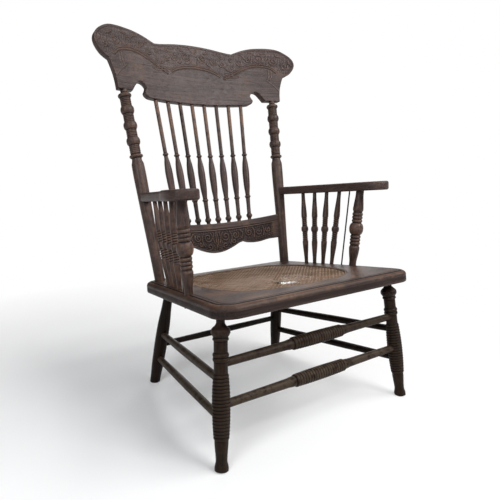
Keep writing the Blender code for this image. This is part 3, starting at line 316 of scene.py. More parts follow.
def axis_of(node):
    """The middles of a turned CAD node's two end caps, the lower or further left one first."""
    points = cad_points(node)
    middle = points.mean(0)
    direction = np.linalg.svd(points - middle, full_matrices=False)[2][0]
    if direction[np.argmax(np.abs(direction))] < 0:
        direction = -direction
    sole = points[points[:, 2] < FLOOR_TOUCH]
    for _ in range(3):
        along = (points - middle) @ direction
        foot, head = [middle_of(points[np.abs(along - level) < CAP_DEPTH])
                      for level in (along.min(), along.max())]
        if len(sole):
            foot = middle_of(sole)
        middle, direction = foot, unit(head - foot)
    return foot, head


# Meshes

def grid_faces(rows, columns, wrap_rows=False, wrap_columns=False):
    """Quads of a grid of points, numbered row by row."""
    i = np.arange(rows if wrap_rows else rows - 1)[:, None]
    j = np.arange(columns if wrap_columns else columns - 1)[None, :]
    a, b = i * columns, (i + 1) % rows * columns
    c, d = j, (j + 1) % columns
    return np.stack([a + c, a + d, b + d, b + c], -1).reshape(-1, 4)


def make_piece(name, points, faces, look, stands_for=(), notes=None, sharp=None):
    """A mesh from arrays of points and faces, with one number or vector per point in notes."""
    mesh = bpy.data.meshes.new(name)
    sizes = np.concatenate([np.full(len(f), f.shape[1]) for f in faces])
    corners = np.concatenate([f.ravel() for f in faces]).astype(np.int32)
    mesh.vertices.add(len(points))
    mesh.vertices.foreach_set("co", points.astype(np.float32).ravel())
    mesh.loops.add(len(corners))
    mesh.loops.foreach_set("vertex_index", corners)
    mesh.polygons.add(len(sizes))
    mesh.polygons.foreach_set("loop_start", (np.cumsum(sizes) - sizes).astype(np.int32))
    mesh.update(calc_edges=True)
    mesh.validate()
    for note, values in (notes or {}).items():
        kind, key = ("FLOAT_VECTOR", "vector") if values.ndim == 2 else ("FLOAT", "value")
        data = mesh.attributes.new(note, kind, "POINT").data
        data.foreach_set(key, values.astype(np.float32).ravel())
    mesh.shade_smooth()
    if sharp:
        mesh.set_sharp_from_angle(angle=math.radians(sharp))
    piece = bpy.data.objects.new(name, mesh)
    bpy.context.scene.collection.objects.link(piece)
    mesh.materials.append(bpy.data.materials[look])
    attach(piece, "root")
    if stands_for:
        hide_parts(*stands_for)
    return piece


def wood_notes(name, grain, hollow, wear_and_sheen, tone_and_shade=0.0):
    """Grain coordinates with an offset of the piece's own, hollows, wear that is also a painted sheen
    in places, and the piece's tone, which is a painted shade on the pieces set low.
    """
    source = seeded(name)
    return {"grain": grain + source.uniform(-3, 3, 3), "hollow": hollow, "wear_and_sheen": wear_and_sheen,
            "tone_and_shade": np.full(len(grain), source.uniform(-1, 1) + tone_and_shade)}


def turned(name, shape, start, step, sides, wear_and_sheen=0.0, look="Old oak", worn=None,
           tone_and_shade=0.0):
    """A turned piece in its CAD node's place, its radius a function of the distance from its foot.

    Point = foot + axis * t + r(t) * (cos a, sin a) across it, and a point closes either end.
    The shape works in millimetres, and its nought lies at -start from the foot.
    """
    foot, head = axis_of(name)
    axis = unit(head - foot)
    side = unit(np.cross(axis, (0.3, 1.0, 0.1)))
    other = np.cross(axis, side)
    reach = np.linalg.norm(head - foot)
    t = np.linspace(0, reach, max(4, int(reach / step)))
    place, end = (t + start) / MM, (reach + start) / MM
    r = shape(place, end) * MM
    # Grooves get a positive hollow, which the oak darkens as dirt and painted shade, and beads a
    # negative one, which it lightens as wear and painted highlight.
    hollow = np.clip((blurred(r, int(BLUR / step)) - r) / TURNED_HOLLOW, -1, 1)
    fade = wear_and_sheen + (np.zeros(len(t)) if worn is None else worn(place, end))
    angle = np.arange(sides) * 2 * math.pi / sides
    spokes = side * np.cos(angle)[:, None] + other * np.sin(angle)[:, None]
    points = foot + axis * t[:, None, None] + r[:, None, None] * spokes[None]
    if foot[2] < FLOOR_TOUCH:
        lift = np.maximum(0, -points[..., 2]) / axis[2]
        points = points + lift[..., None] * axis
    local = np.stack([np.outer(r, np.cos(angle)), np.outer(r, np.sin(angle)),
                      np.repeat(t[:, None], sides, 1)], -1).reshape(-1, 3)
    points = np.concatenate([points.reshape(-1, 3), foot[None], head[None]])
    grain = np.concatenate([local, [[0, 0, 0], [0, 0, reach]]])
    ring = np.arange(sides)
    after = (ring + 1) % sides
    low, high = np.full(sides, len(points) - 2), np.full(sides, len(points) - 1)
    top = (len(t) - 1) * sides
    faces = [grid_faces(len(t), sides, wrap_columns=True),
             np.stack([low, after, ring], 1), np.stack([high, top + ring, top + after], 1)]
    hollow, fade = (np.append(np.repeat(values, sides), (0, 0)) for values in (hollow, fade))
    return make_piece(name + "_turned", points, faces, look, (name,),
                      wood_notes(name, grain, hollow, fade, tone_and_shade), 50)


def crossings(outline, level):
    """Where a closed outline crosses a level, from left to right."""
    x, y = outline.T
    after_x, after_y = np.roll(x, -1), np.roll(y, -1)
    cut = (y <= level) != (after_y <= level)
    share = (level - y[cut]) / (after_y - y)[cut]
    return np.sort(x[cut] + share * (after_x - x)[cut])


def filled(outline, spacing):
    """Triangles that fill a closed outline: its own points first, then a staggered grid inside."""
    low, high = outline.min(0), outline.max(0)
    lines = []
    for k, level in enumerate(np.arange(low[1] + spacing / 2, high[1], spacing * ROW_STEP)):
        across = np.arange(low[0] + spacing * (0.5 + 0.5 * (k % 2)), high[0], spacing)
        inside = np.searchsorted(crossings(outline, level), across) % 2 == 1
        lines.append(np.stack([across[inside], np.full(inside.sum(), level)], 1))
    grid = np.concatenate(lines)
    count = len(outline)
    tree = KDTree(count)
    for k, (x, y) in enumerate(outline):
        tree.insert((x, y, 0), k)
    tree.balance()
    far = [tree.find((x, y, 0))[2] > spacing * CLEAR_OF_RIM for x, y in grid]
    points = np.concatenate([outline, grid[far]])
    border = [(k, (k + 1) % count) for k in range(count)]
    spots, _, corners, *_ = delaunay_2d_cdt([Vector(point) for point in points], border, [], 1,
                                            1e-7)
    return np.array([tuple(spot) for spot in spots]), np.array(corners)


def averaged(values, corners, passes):
    """Each point's value replaced by the mean over its triangles' other corners, several times."""
    pairs = np.concatenate([corners[:, [0, 1]], corners[:, [1, 2]], corners[:, [2, 0]]])
    number = np.bincount(pairs[:, 0], minlength=len(values))
    for _ in range(passes):
        total = np.bincount(pairs[:, 0], values[pairs[:, 1]], len(values))
        values = total / np.maximum(number, 1)
    return values


def outward_of(loop):
    """Unit vectors square to a closed loop, to the right of its direction."""
    tangent = unit(np.roll(loop, -1, 0) - np.roll(loop, 1, 0))
    return np.stack([tangent[:, 1], -tangent[:, 0]], 1)


def slab(name, points, spacing, edge, height, place, along, wear_of, darkening=1.0):
    """A board: a carved front, a moulded edge and a plain back between two closed rings.

    Rings of the outline, each moved inwards along its own normal by the edge profile, join the
    front to the back.  height(x, y) raises the front, and place bends it all to its position.
    Grain runs along axis 0 or 1, and the last argument sets how dark the hollows go, dirt and painted
    shade together; raised carving is lightened as wear and painted highlight.
    """
    outline = anticlockwise(smooth_outline(points, 14)) * MM
    outward = outward_of(outline)
    outward = unit(outward * 2 + np.roll(outward, 1, 0) + np.roll(outward, -1, 0))
    around = len(outline)
    loops = [outline - outward * inset for inset, level in edge]
    front, front_corners = filled(loops[0], spacing)
    back, back_corners = filled(loops[-1], BACK_SPACING)
    rise = height(front[:, 0], front[:, 1])
    rise[:around] = 0
    middle = [np.column_stack([ring, np.full(around, level)])
              for ring, (inset, level) in zip(loops[1:-1], edge[1:-1])]
    flat = np.concatenate([np.column_stack([front, edge[0][1] + rise]),
                           np.column_stack([back, np.full(len(back), edge[-1][1])]), *middle])
    ring = np.arange(around)
    first = len(front) + len(back)
    rings = np.concatenate([ring[None], first + np.arange(len(middle) * around).reshape(-1, around),
                            ring[None] + len(front)])
    after = np.roll(rings, -1, 1)
    quads = np.stack([rings[1:], after[1:], after[:-1], rings[:-1]], -1).reshape(-1, 4)
    faces = [front_corners, back_corners[:, ::-1] + len(front), quads]
    sunk = (averaged(rise, front_corners, 3) - rise) / CARVED_HOLLOW
    depth = np.clip(sunk - rise / CARVED_RISE, -1, 1)
    hollow = np.zeros(len(flat))
    # Sunk carving darkens as dirt and painted shade, raised carving lightens as wear and painted
    # highlight.
    hollow[:len(front)] = np.where(depth > 0, depth * darkening, depth * 0.8)
    hollow[first:] = -0.3
    grain = flat[:, [1, 2, 0]] if along == 0 else flat[:, [0, 2, 1]]
    notes = wood_notes(name, grain, hollow, wear_of(*flat.T))
    return make_piece(name + "_board", place(*flat.T), faces, "Old oak", (name,), notes, 40)


def rounded(thick, radius, steps=4):
    """An edge profile of (inset, height): a quarter circle, the flat edge, a quarter circle."""
    turn = np.linspace(0, math.pi / 2, steps)
    half = [(radius * (1 - math.sin(a)), thick / 2 - radius * (1 - math.cos(a))) for a in turn]
    return half + [(inset, -level) for inset, level in reversed(half)]


# Profiles of the turned pieces, distance from the foot against radius, in millimetres

def front_leg_shape(t, end):
    """From the floor up: a ribbed shaft, two rings, a collar, a bulb and the tenon."""
    top = end - 13
    low, high = 65, top - 124
    r = flowing([(-10, 15.3), (4, 15.3), (20, 12.7), (low - 3, 15.2), (high + 6, 15.2),
                 (top - 54, 15.2), (top - 51, 17), (top - 46.5, 16.7), (top - 36, 21.2),
                 (top - 31, 20.8), (top - 19.5, 11.3), (top - 15, 9.5), (top + 13, 9.5)], t)
    r = ribbed(r, t, low, high, 19, 20, 2.1, 3)
    for drop, half, base in ((92.9, 4.6, 15), (83.6, 4.6, 15), (50, 3, 15.2)):
        r = bead(r, t, top - drop, half, base, 17.8)
    return groove(r, t, top - 45.5, 1.2, 0.8)


def rear_leg_shape(t, end):
    """A plain leg, thickest a little below its middle."""
    top = end - 13
    return flowing([(-10, 15), (4, 15), (top * 0.25, 17.8), (top * 0.45, 18.6), (top * 0.6, 18),
                    (top - 45, 13.7), (top - 8, 12.5), (top + 13, 12.5)], t)


def front_stretcher_shape(t, end):
    """A bar with a ribbed middle, the same to both sides."""
    middle = end / 2
    r = flowing([(0, 11.8), (78.7, 11.8), (88, 12.2), (103, 11), (145, 10.4), (middle - 26, 9.5),
                 (middle + 10, 9.5)], np.abs(t - middle))
    return ribbed(r, t, middle - 81, middle + 81, 20, 16.4, 1.8, 1.2)


def plain_shape(thin):
    """A bar that swells by 1.2 * sin(pi t / end)^2 to its middle."""
    def shape(t, end):
        return thin + 1.2 * np.sin(np.clip(t / end, 0, 1) * math.pi) ** 2
    return shape


def post_shape(t, end):
    """A swelling shaft, then five beads with ribs between them."""
    top, neck = end - 26, 13.8
    r = flowing([(-14, 14.5), (10, 14.5), (top - 304, 17.6), (top - 249, 18.3), (top - 216, 17.7),
                 (top - 201.5, neck + 0.4), (top - 190, neck), (top - 10.5, neck), (top - 8, 10),
                 (top + 26, 10)], t)
    for start, stop in ((184, 159), (137, 114), (92, 69), (47, 22.5)):
        r = ribbed(r, t, top - start, top - stop, 5, 15.4, 1.6, 0)
    for drop, half, high in ((148, 11.2, 19.4), (103, 11.2, 19.4), (58, 11.2, 19.4), (191, 5, 19.3),
                             (16.5, 5.8, 19.2)):
        r = bead(r, t, top - drop, half, neck, high)
    return r


def back_spindle_shape(t, end):
    """A spindle with two low beads, a swell and a small ring above it."""
    length, thin = end - 12, 6
    r = flowing([(-12, thin), (4, thin), (22, 6.4), (44, 6.4), (71, 7), (82, 7.2),
                 (length * 0.30, 10.1), (length * 0.41, 11.2), (length * 0.49, 9.2),
                 (length * 0.553, thin), (length * 0.581, thin), (length - 8, thin), (end, thin)], t)
    for centre, half, low, high in ((13, 7.2, 4, 9.9), (76.5, 4, 6.4, 9.5),
                                    (length * 0.567, 3.6, thin, 8.8)):
        r = bead(r, t, centre, half, low, high)
    return r


def arm_post_middle(end):
    """Where the arm post's ball lies."""
    return (end - 16) * 0.495


def arm_post_shape(t, end):
    """A ball between three beads to either side, and a cone beyond them."""
    middle = arm_post_middle(end)
    r = flowing([(-20, 10.2), (8, 10.2), (middle - 70, 14), (middle - 56, 15), (middle - 49, 12.8),
                 (middle + 49, 12.8), (middle + 56, 15), (middle + 70, 14), (end - 24, 11.2),
                 (end, 11.2)], t)
    for gap in (-42.7, -33, -23.3, 23.3, 33, 42.7):
        r = bead(r, t, middle + gap, 4.7, 12, 15)
    return bead(r, t, middle, 17.8, 11, 20.1)


def arm_spindle_shape(t, end):
    """A ball between ribs, in the middle of two thin cones."""
    length, thin = end - 12, 5.7
    middle = length * 0.486
    r = flowing([(-12, thin), (6, thin), (middle - 39, 9.1), (middle - 33, 7), (middle, 6.1),
                 (middle + 33, 7), (middle + 39, 9.1), (length - 6, thin), (end, thin)], t)
    for start in (-36, 10):
        r = ribbed(r, t, middle + start, middle + start + 26, 4, 8.6, 2.6, 0)
    return bead(r, t, middle, 10.6, 5.5, 11.2)


# Outlines of the boards, as the CAD has them, in millimetres

def crest_half():
    """Two wings and a middle hump above, a belly between two arches and two tabs below."""
    post = post_across(POST_LENGTH) / MM
    top, wing, notch = 170, 184.4, 131
    low = top - 13.2
    tip, tab_out = post + 84, post + 22
    tab_in = tab_out - 50.5
    width, rise = 50, 29.8
    arch, reach = tab_in - width, tip - notch
    shoulder = [(0.21, 12.9), (0.35, 4.6), (0.48, 1), (0.64, 0), (0.78, 4.5), (0.91, 20.4),
                (0.98, 37), (1, 53), (0.98, 69), (0.92, 86.5)]
    flank = [(14.5, 0.42), (6.5, 0.28), (2, 0.14)]
    hollow = [(0.76, 0.55), (0.58, 0.88), (0.40, 1), (0.17, 0.88), (0, 0.55), (0.06, 0.25)]

    def belly(across, lift=0):
        return across, 8 * (across / arch) ** 2 - 23.3 + lift

    return [(0, top), (notch * 0.46, top - 3), (notch - 9, low + 1.5, CORNER),
            (notch + 10, low, CORNER),
            *[(notch + reach * share, wing - drop) for share, drop in shoulder],
            (tab_out + 30, wing - 96), (tab_out + 19.5, wing - 101, CORNER),
            *[(tab_out + out, top * share) for out, share in flank],
            (tab_out, 0, CORNER), (tab_in, 0, CORNER),
            *[(arch + width * share, rise * height) for share, height in hollow],
            (arch + width * 0.14, -1), (arch + width * 0.04, -10), belly(arch - 10, 0.5),
            *[belly(arch * share) for share in (0.66, 0.33, 0)]]


def rail_half():
    """A hollow top, a lower edge of one deep lobe between two shallow ones."""
    end = post_across(RAIL_CENTRE) / MM - 9
    cusp, middle = 100, -93
    foot, lobe, notch = RAIL_HOLLOW - 76.5, middle + 19.5, middle + 28
    side = end - cusp
    shallow = [(0.90, foot - 1.5), (0.66, lobe + 5.5), (0.38, lobe), (0.14, lobe + 2.5)]
    deep = [(0.82, notch - 4), (0.59, middle + 14), (0.38, middle + 6.5), (0.19, middle + 1.8),
            (0, middle)]
    return [*[(end * share, RAIL_HOLLOW * share ** 2) for share in (0, 0.35, 0.7)],
            (end, RAIL_HOLLOW, CORNER), (end, foot, CORNER),
            *[(cusp + side * share, y) for share, y in shallow], (cusp, notch, CORNER),
            *[(cusp * share, y) for share, y in deep]]


def arm_whole(sign, end):
    """Narrow at the back post, flaring into a round paddle that overhangs the arm post."""
    narrow, half, shift, front, flare = 14.5, 39.5, 9.5, 80, 130
    outer, inner = shift + half - narrow, half - shift - narrow
    outside = [(0.17, 0.66), (0.58, 0.33), (0.90, 0.06)]
    paddle = [(1, 0.25), (0.93, 0.60), (0.64, 0.87), (0.15, 1), (-0.35, 0.965), (-0.76, 0.80),
              (-0.96, 0.52), (-1, 0.20)]
    inside = [(0.85, 0.15), (0.45, 0.45), (0.12, 0.75)]
    points = [(narrow, end, CORNER), (narrow, flare),
              *[(narrow + outer * share, flare * back) for share, back in outside],
              *[(shift + half * share, -front * ahead) for share, ahead in paddle],
              *[(-narrow - inner * share, flare * back) for share, back in inside],
              (-narrow, flare), (-narrow, end, CORNER)]
    return [(sign * x, y, *corner) for x, y, *corner in points]


def oval(turn, grow):
    """A superellipse around the caned opening: |x/a|^n + |y/b|^n = 1, larger all round by grow."""
    x, y = np.cos(turn), np.sin(turn)
    power = 2 / OPENING_POWER
    return np.stack([np.copysign((OPENING[0] + grow) * np.abs(x) ** power, x),
                     OPENING_MIDDLE + np.copysign((OPENING[1] + grow) * np.abs(y) ** power, y)], -1)


def oval_reach(x, y, grow):
    """Less than one inside the opening grown by grow, more than one outside."""
    return (np.abs(x / (OPENING[0] + grow)) ** OPENING_POWER
            + np.abs((y - OPENING_MIDDLE) / (OPENING[1] + grow)) ** OPENING_POWER)


# Boards of the seat, each a closed profile carried along its share of the ring

def respaced(rows, count, endpoint=True):
    """Rows of (x, y, ...) read off at equal steps along their line."""
    run = run_of(rows[:, :2])
    even = np.linspace(0, run[-1], count, endpoint=endpoint)
    return np.stack([np.interp(even, run, column) for column in rows.T], 1)


def seat_outline():
    """The seat's outline, anticlockwise: straight sides and four round corners, and its normals."""
    front, rear, radius = SEAT_FRONT / 2, SEAT_REAR / 2, SEAT_CORNER
    square = math.pi / 2
    lean = math.atan((front - rear) / SEAT_DEPTH)
    near = (front - radius * math.tan((square + lean) / 2), radius)
    far = (rear - radius * math.tan((square - lean) / 2), SEAT_DEPTH - radius)
    parts = []
    for centre, start, turn in ((near, -square, square + lean), (far, lean, square - lean)):
        angle = np.linspace(start, start + turn, 90)
        normal = np.stack([np.cos(angle), np.sin(angle)], 1)
        parts.append(np.column_stack([centre + normal * radius, normal]))
    half = np.concatenate(parts)
    dense = respaced(np.concatenate([half, half[::-1] * (-1, 1, -1, 1), half[:1]]), 3600, False)
    return dense[:, :2], unit(dense[:, 2:])


def share_of_ring(curve, start, stop, count):
    """The stretch of a closed curve between two joints, each (side of the seat, place back)."""
    first, last = [np.argmin(np.abs(curve[:, 1] - back) + np.where(curve[:, 0] * side > 0, 0, 9))
                   for side, back in (start, stop)]
    stretch = np.roll(curve, -first, 0)[:(last - first) % len(curve) + 1]
    stretch[0, 1], stretch[-1, 1] = start[1], stop[1]
    return respaced(stretch, count)


def seat_profile():
    """Rows of (kind, distance, height, hollow, wear and painted sheen), from the ledge over the edge
    and back below.

    Kind "in" counts outwards from the opening, "out" inwards from the outline, and "mid" is
    the share of the way between the two rows beside it.  Lengths are in millimetres.  A positive
    hollow darkens a row as dirt and painted shade, and a negative one lightens it as wear and painted
    highlight.
    """
    ledge, floor, under, heel = [size / MM for size in (LEDGE, LEDGE_DEPTH, SEAT_THICK, SEAT_HEEL)]
    moulding = [(24, 0, 0, 0.3), (23, -0.1, 0, 0), (22.6, -0.7, 0.15, 0), (21.8, -0.9, 0.2, 0),
                (21, -0.7, 0.15, 0), (20.4, -0.5, 0, 0.2), (19, -0.3, -0.2, 0.3), (15, -0.4, 0, 0.4),
                (13.6, -1, 0.7, 0), (12.4, -1.6, 0.8, 0.1)]
    # The nose is worn and lightened through the hollow column, a painted highlight.
    nose = [(11.5 * (1 - math.sin(a)), -1.6 - 10.4 * (1 - math.cos(a)), -0.9 + 0.5 * a, 1 - 0.45 * a)
            for a in np.linspace(0.16, math.pi / 2, 8)]
    # The edge's lower band is darkened through the hollow column, a painted shade.
    side = [(0.2, -14.5, 0.25, 0), (0.4, -16, 0.4, 0), (0.1, -17.5, 0.35, 0.1), (0, -23.5, 0.3, 0)]
    turn = [(heel * (1 - math.cos(a)), heel * (1 - math.sin(a)) - under, 0, 0.1)
            for a in np.linspace(0, math.pi / 2, 5)]
    return [("in", ledge, -1.2, 0.4, 0), ("in", ledge + 1.2, 0, -0.2, 0.2),
            # The seat's top between the ledge and the moulding is worn, and its lighter colour is
            # also a painted sheen.
            *[("mid", share, 0, 0, 0.85) for share in (0.12, 0.3, 0.5, 0.7, 0.88)],
            *[("out", *row) for row in (*moulding, *nose, *side, *turn, (30, -under, 0.1, 0))],
            # The ledge below the cane is darkened through the hollow column, dirt and painted shade.
            ("mid", 0.5, -under, 0.1, 0), ("in", 0, -under, 0, 0), ("in", 0, -floor, 0.3, 0),
            ("in", ledge, -floor, 1, 0)]


def seat_board(name, start, stop, count, along):
    """A closed profile carried along the seat's ring, cut square at its two joints."""
    outline, normals = seat_outline()
    circle = np.linspace(0, 2 * math.pi, 2400, endpoint=False)
    kinds, distances, *columns = zip(*seat_profile())
    heights, hollow, wear_and_sheen = np.array(columns, float)[..., None]
    curves = {}
    for i, (kind, distance) in enumerate(zip(kinds, distances)):
        if kind != "mid":
            away = distance * MM
            ring = oval(circle, away) if kind == "in" else outline - normals * away
            curves[i] = share_of_ring(ring, start, stop, count)
    known = list(curves)
    for i, (kind, share) in enumerate(zip(kinds, distances)):
        if kind == "mid":
            before = curves[max(k for k in known if k < i)]
            after = curves[min(k for k in known if k > i)]
            curves[i] = before * (1 - share) + after * share
    rows = len(kinds)
    x, y = np.moveaxis(np.stack([curves[i] for i in range(rows)]), -1, 0)
    outer = (np.array(kinds) == "out")[:, None] & (heights > -20)
    level = heights * MM - np.where(outer, np.abs(0.00022 * ripple(x, y, 5, 0.050)), 0)
    k = np.arange(rows) * count
    faces = [grid_faces(rows, count, wrap_rows=True)[:, ::-1], k[::-1][None], k[None] + count - 1]
    grain = np.stack([y, level, x] if along == 0 else [x, level, y], -1).reshape(-1, 3)
    wear_and_sheen = wear_and_sheen * np.clip(0.55 + 0.45 * ripple(x, y, 11, 0.11), 0.1, 1)
    notes = wood_notes(name, grain, np.repeat(hollow, count), wear_and_sheen.ravel())
    points = seat_place(x, y, level).reshape(-1, 3)
    return make_piece(name + "_board", points, faces, "Old oak", (name,), notes, 32)


# Cane

TEAR = np.array((-0.016, 0.150))
TEAR_TURN = -0.5856
TEAR_SIZE = (0.0240, 0.0145)
TEAR_MARGIN = (-0.05, 0.22)       # where each strand may break, against the tear's edge
SECTION = np.array([(-0.5, -0.5), (0.5, -0.5), (0.4, 0.5), (-0.4, 0.5)])
STRAND_REACH = 0.30               # half a strand's length before it is cut to the opening
STRAND_END = LEDGE - 0.0016
SQUARE_HALVES = (0.190, 0.2115)   # half of what the strands along and across cover
SLANTING_HALF = 0.285
SAG = 0.0035
REED_PATH = LEDGE - 0.0027
REED_LEVEL = -0.0018
REED_HALVES = (0.0024, 0.0019)
REED_SIDES = 10
REED_STEPS = 360


def torn(x, y):
    """Less than nought inside the tear: an ellipse with a ragged edge."""
    dx, dy = x - TEAR[0], y - TEAR[1]
    u = dx * math.cos(TEAR_TURN) + dy * math.sin(TEAR_TURN)
    v = dy * math.cos(TEAR_TURN) - dx * math.sin(TEAR_TURN)
    angle = np.arctan2(v, u)
    ragged = (1 + 0.16 * np.sin(3 * angle + 1) + 0.12 * np.sin(7 * angle + 2)
              + 0.08 * np.sin(13 * angle))
    return np.hypot(u / TEAR_SIZE[0], v / TEAR_SIZE[1]) / ragged - 1


def sagging(x, y):
    """How far the caning hangs: deepest in the middle, nought at the rim."""
    return -SAG * np.clip(1 - oval_reach(x, y, 0), 0, 1)


def strand_points(middle, level, width, thick, across):
    """Four corners at each place of some strands: the section carried along their middles."""
    flat = middle[:, :, None] + (width * SECTION[:, 0])[..., None] * across
    high = level[:, :, None] + SECTION[:, 1] * thick
    return seat_place(flat[..., 0], flat[..., 1], high).reshape(-1, 3)


def strand_faces(keep):
    """Sides between neighbouring places that are both kept, and caps where a run begins or ends."""
    index = np.arange(keep.size * 4).reshape(*keep.shape, 4)
    both = keep[:, :-1] & keep[:, 1:]
    a, b = index[:, :-1][both], index[:, 1:][both]
    sides = np.stack([a, b, np.roll(b, -1, 1), np.roll(a, -1, 1)], -1).reshape(-1, 4)
    before, after = np.pad(both, ((0, 0), (1, 0))), np.pad(both, ((0, 0), (0, 1)))
    return np.concatenate([sides, index[after & ~before], index[before & ~after][:, ::-1]])


def strand_notes(*columns):
    """One row of notes for each corner, from columns that may be the same along or across."""
    return np.stack(np.broadcast_arrays(*columns), -1).reshape(-1, len(columns))


def strand_arrays(heading, offsets, starts, pitch, width, thick, lift, level, seed):
    """Parallel flat strands: offset across and s along, at a height of lift * cos(pi s / pitch)."""
    source = np.random.default_rng(seed)
    s = np.arange(-STRAND_REACH, STRAND_REACH, pitch / 4)
    direction = np.array((math.cos(heading), math.sin(heading)))
    across = np.array((-direction[1], direction[0]))
    each = (len(offsets), 1)
    place = (offsets[:, None] + source.normal(0, 0.00025, each))[..., None]
    middle = np.array((0, OPENING_MIDDLE)) + place * across + s[None, :, None] * direction
    x, y = middle[..., 0], middle[..., 1]
    z = level + lift * np.cos(math.pi * (s / pitch + starts[:, None])) + sagging(x, y)
    edge = torn(x, y)
    z = z + np.exp(-np.maximum(edge, 0) / 0.30) * source.normal(0.0010, 0.0016, each)
    keep = (oval_reach(x, y, STRAND_END) < 1) & (edge > source.uniform(*TEAR_MARGIN, each))
    # The lower corners of each strand are set 5 darker: painted shade on the strands' sides.
    tone_and_shade = source.uniform(-1, 1, (*each, 1)) - 5 * (SECTION[:, 1] < 0)
    side = SECTION[:, 0] * width + offsets[:, None, None]
    return (strand_points(middle, z, width, thick, across), strand_faces(keep),
            strand_notes(side, tone_and_shade * 0.4, np.broadcast_to(s[:, None], (len(s), 4)), tone_and_shade))


def square_strands(pitch, width, thick):
    """Pairs of strands across the seat and back along it, each pair over and under the other."""
    groups = []
    for k, (heading, half) in enumerate(zip((0.0, math.pi / 2), SQUARE_HALVES)):
        rows = np.arange(-int(half / pitch), int(half / pitch) + 1)
        for j, side in enumerate((-1, 1)):
            offsets = rows * pitch + side * width * 0.62
            groups.append(strand_arrays(heading, offsets, rows + j + k, pitch, width, thick,
                                        thick * 0.75, CANE_LEVEL, 40 + 2 * k + j))
    return groups


def slanting_strands(pitch, width, thick):
    """Single strands on both diagonals, through the corners of every square."""
    slant = pitch / math.sqrt(2)
    rows = np.arange(-int(SLANTING_HALF / slant), int(SLANTING_HALF / slant) + 1)
    return [strand_arrays(heading, (rows + 0.5) * slant, rows + 0.5 * k, slant, width, thick,
                          thick * 0.5, CANE_LEVEL + thick * (1.3 + 0.7 * k), 50 + k)
            for k, heading in enumerate((math.pi / 4, -math.pi / 4))]


def fray_strands(width, thick):
    """Broken ends that stand up round the tear: short strands that curl as they leave the cane."""
    source = np.random.default_rng(77)
    count, places = 26, 9
    angle = np.linspace(0, 2 * math.pi, count, endpoint=False) + source.normal(0, 0.1, count)
    u, v = np.cos(angle) * TEAR_SIZE[0], np.sin(angle) * TEAR_SIZE[1]
    foot = TEAR + np.stack([u * math.cos(TEAR_TURN) - v * math.sin(TEAR_TURN),
                            u * math.sin(TEAR_TURN) + v * math.cos(TEAR_TURN)], 1)
    out = unit(foot - TEAR) * np.where(source.random(count) < 0.45, -0.5, 0.8)[:, None]
    direction = unit(out + source.normal(0, 0.4, (count, 2)))
    side = np.stack([-direction[:, 1], direction[:, 0]], 1)
    reach = source.uniform(0.008, 0.021, count)[:, None]
    bend = source.uniform(-1.4, 1.4, count)[:, None]
    s = np.linspace(0, 1, places)
    run = (s * reach)[..., None]
    swerve = (0.4 * s ** 2 * reach * bend)[..., None]
    plan = foot[:, None] + run * direction[:, None] + swerve * side[:, None]
    rise = source.uniform(0.15, 0.55, count)[:, None] * reach * np.sin(s * 2.1)
    slim = (width * (1 - 0.45 * s))[:, None]
    tone_and_shade = source.uniform(-1, 1, count)[:, None, None]
    return [(strand_points(plan, CANE_LEVEL + 0.0008 + rise, slim, thick, side[:, None, None]),
             strand_faces(np.ones((count, places), bool)),
             strand_notes(np.zeros((count, places, 4)), 0, run, tone_and_shade))]


def cane_piece(name, groups, look, stands_for=()):
    """Several (points, faces, notes) as one piece, without the points that no face uses."""
    points, notes = [np.concatenate([group[k] for group in groups]) for k in (0, 2)]
    starts = np.cumsum([0] + [len(group[0]) for group in groups])
    faces = np.concatenate([group[1] + start for group, start in zip(groups, starts)])
    used = np.unique(faces)
    number = np.zeros(len(points), int)
    number[used] = np.arange(len(used))
    extra = {"grain": notes[used, :3], "tone_and_shade": notes[used, 3]}
    return make_piece(name, points[used], [number[faces]], look, stands_for, extra, 30)


def cane_spline():
    """The reed that wedges the caning in: a flattened circle carried round the opening."""
    turn = np.linspace(0, 2 * math.pi, REED_STEPS, endpoint=False)
    around = np.arange(REED_SIDES) * 2 * math.pi / REED_SIDES
    path = oval(turn, REED_PATH)
    plan = path[:, None] + outward_of(path)[:, None] * (REED_HALVES[0] * np.cos(around))[:, None]
    high = REED_LEVEL + REED_HALVES[1] * np.sin(around)
    points = seat_place(plan[..., 0], plan[..., 1], high).reshape(-1, 3)
    grain = strand_notes(np.cos(around) * 0.002, 0, turn[:, None] * 0.19)
    notes = {"grain": grain, "tone_and_shade": np.full(len(points), -0.6)}
    faces = [grid_faces(REED_STEPS, REED_SIDES, True, True)]
    return make_piece("cane_spline_reed", points, faces, "Dark cane", ("cane_spline",), notes,
                      60)


# Carving

# Right halves in millimetres: (x, y) points of lines, and what scroll and leaf take
WING_ARC = [(288, 100), (272, 113), (252, 118.5), (232, 120.5), (207, 117.8), (186, 110.5),
            (162, 100), (140, 87), (121, 77.5), (104, 69)]
HUMP_ARC = [(86, 76), (77, 81.5), (58, 88.5), (38, 93.3), (0, 96.5)]
CREST_SCROLLS = [(236, 148, 17, -2.6, 8.5), (198, 144, 13, 0.4, -8), (283, 140, 15, 2.6, 8),
                 (166, 129, 11, 3.4, 7.5), (318, 123, 12, 0.3, -7.5), (30, 131, 16, 2.9, 8.5),
                 (70, 125, 14, 0.2, -8), (103, 118, 10.5, 3.2, 7.5), (100, 144, 8, -0.5, -6),
                 (138, 133, 8, 1, 6)]
CREST_LEAVES = [(255, 166, 20, 0.3), (215, 165, 22, 2.8), (300, 157, 18, -0.5), (180, 152, 20, 2.4),
                (335, 134, 15, -1.1), (262, 135, 16, -1.9), (218, 133, 14, -1.2), (12, 155, 16, 1.2),
                (48, 150, 18, 0.6), (85, 148, 18, 0.2), (50, 111, 14, -0.9), (120, 100, 16, -0.4),
                (142, 110, 14, 0.8), (12, 113, 12, -1.3)]
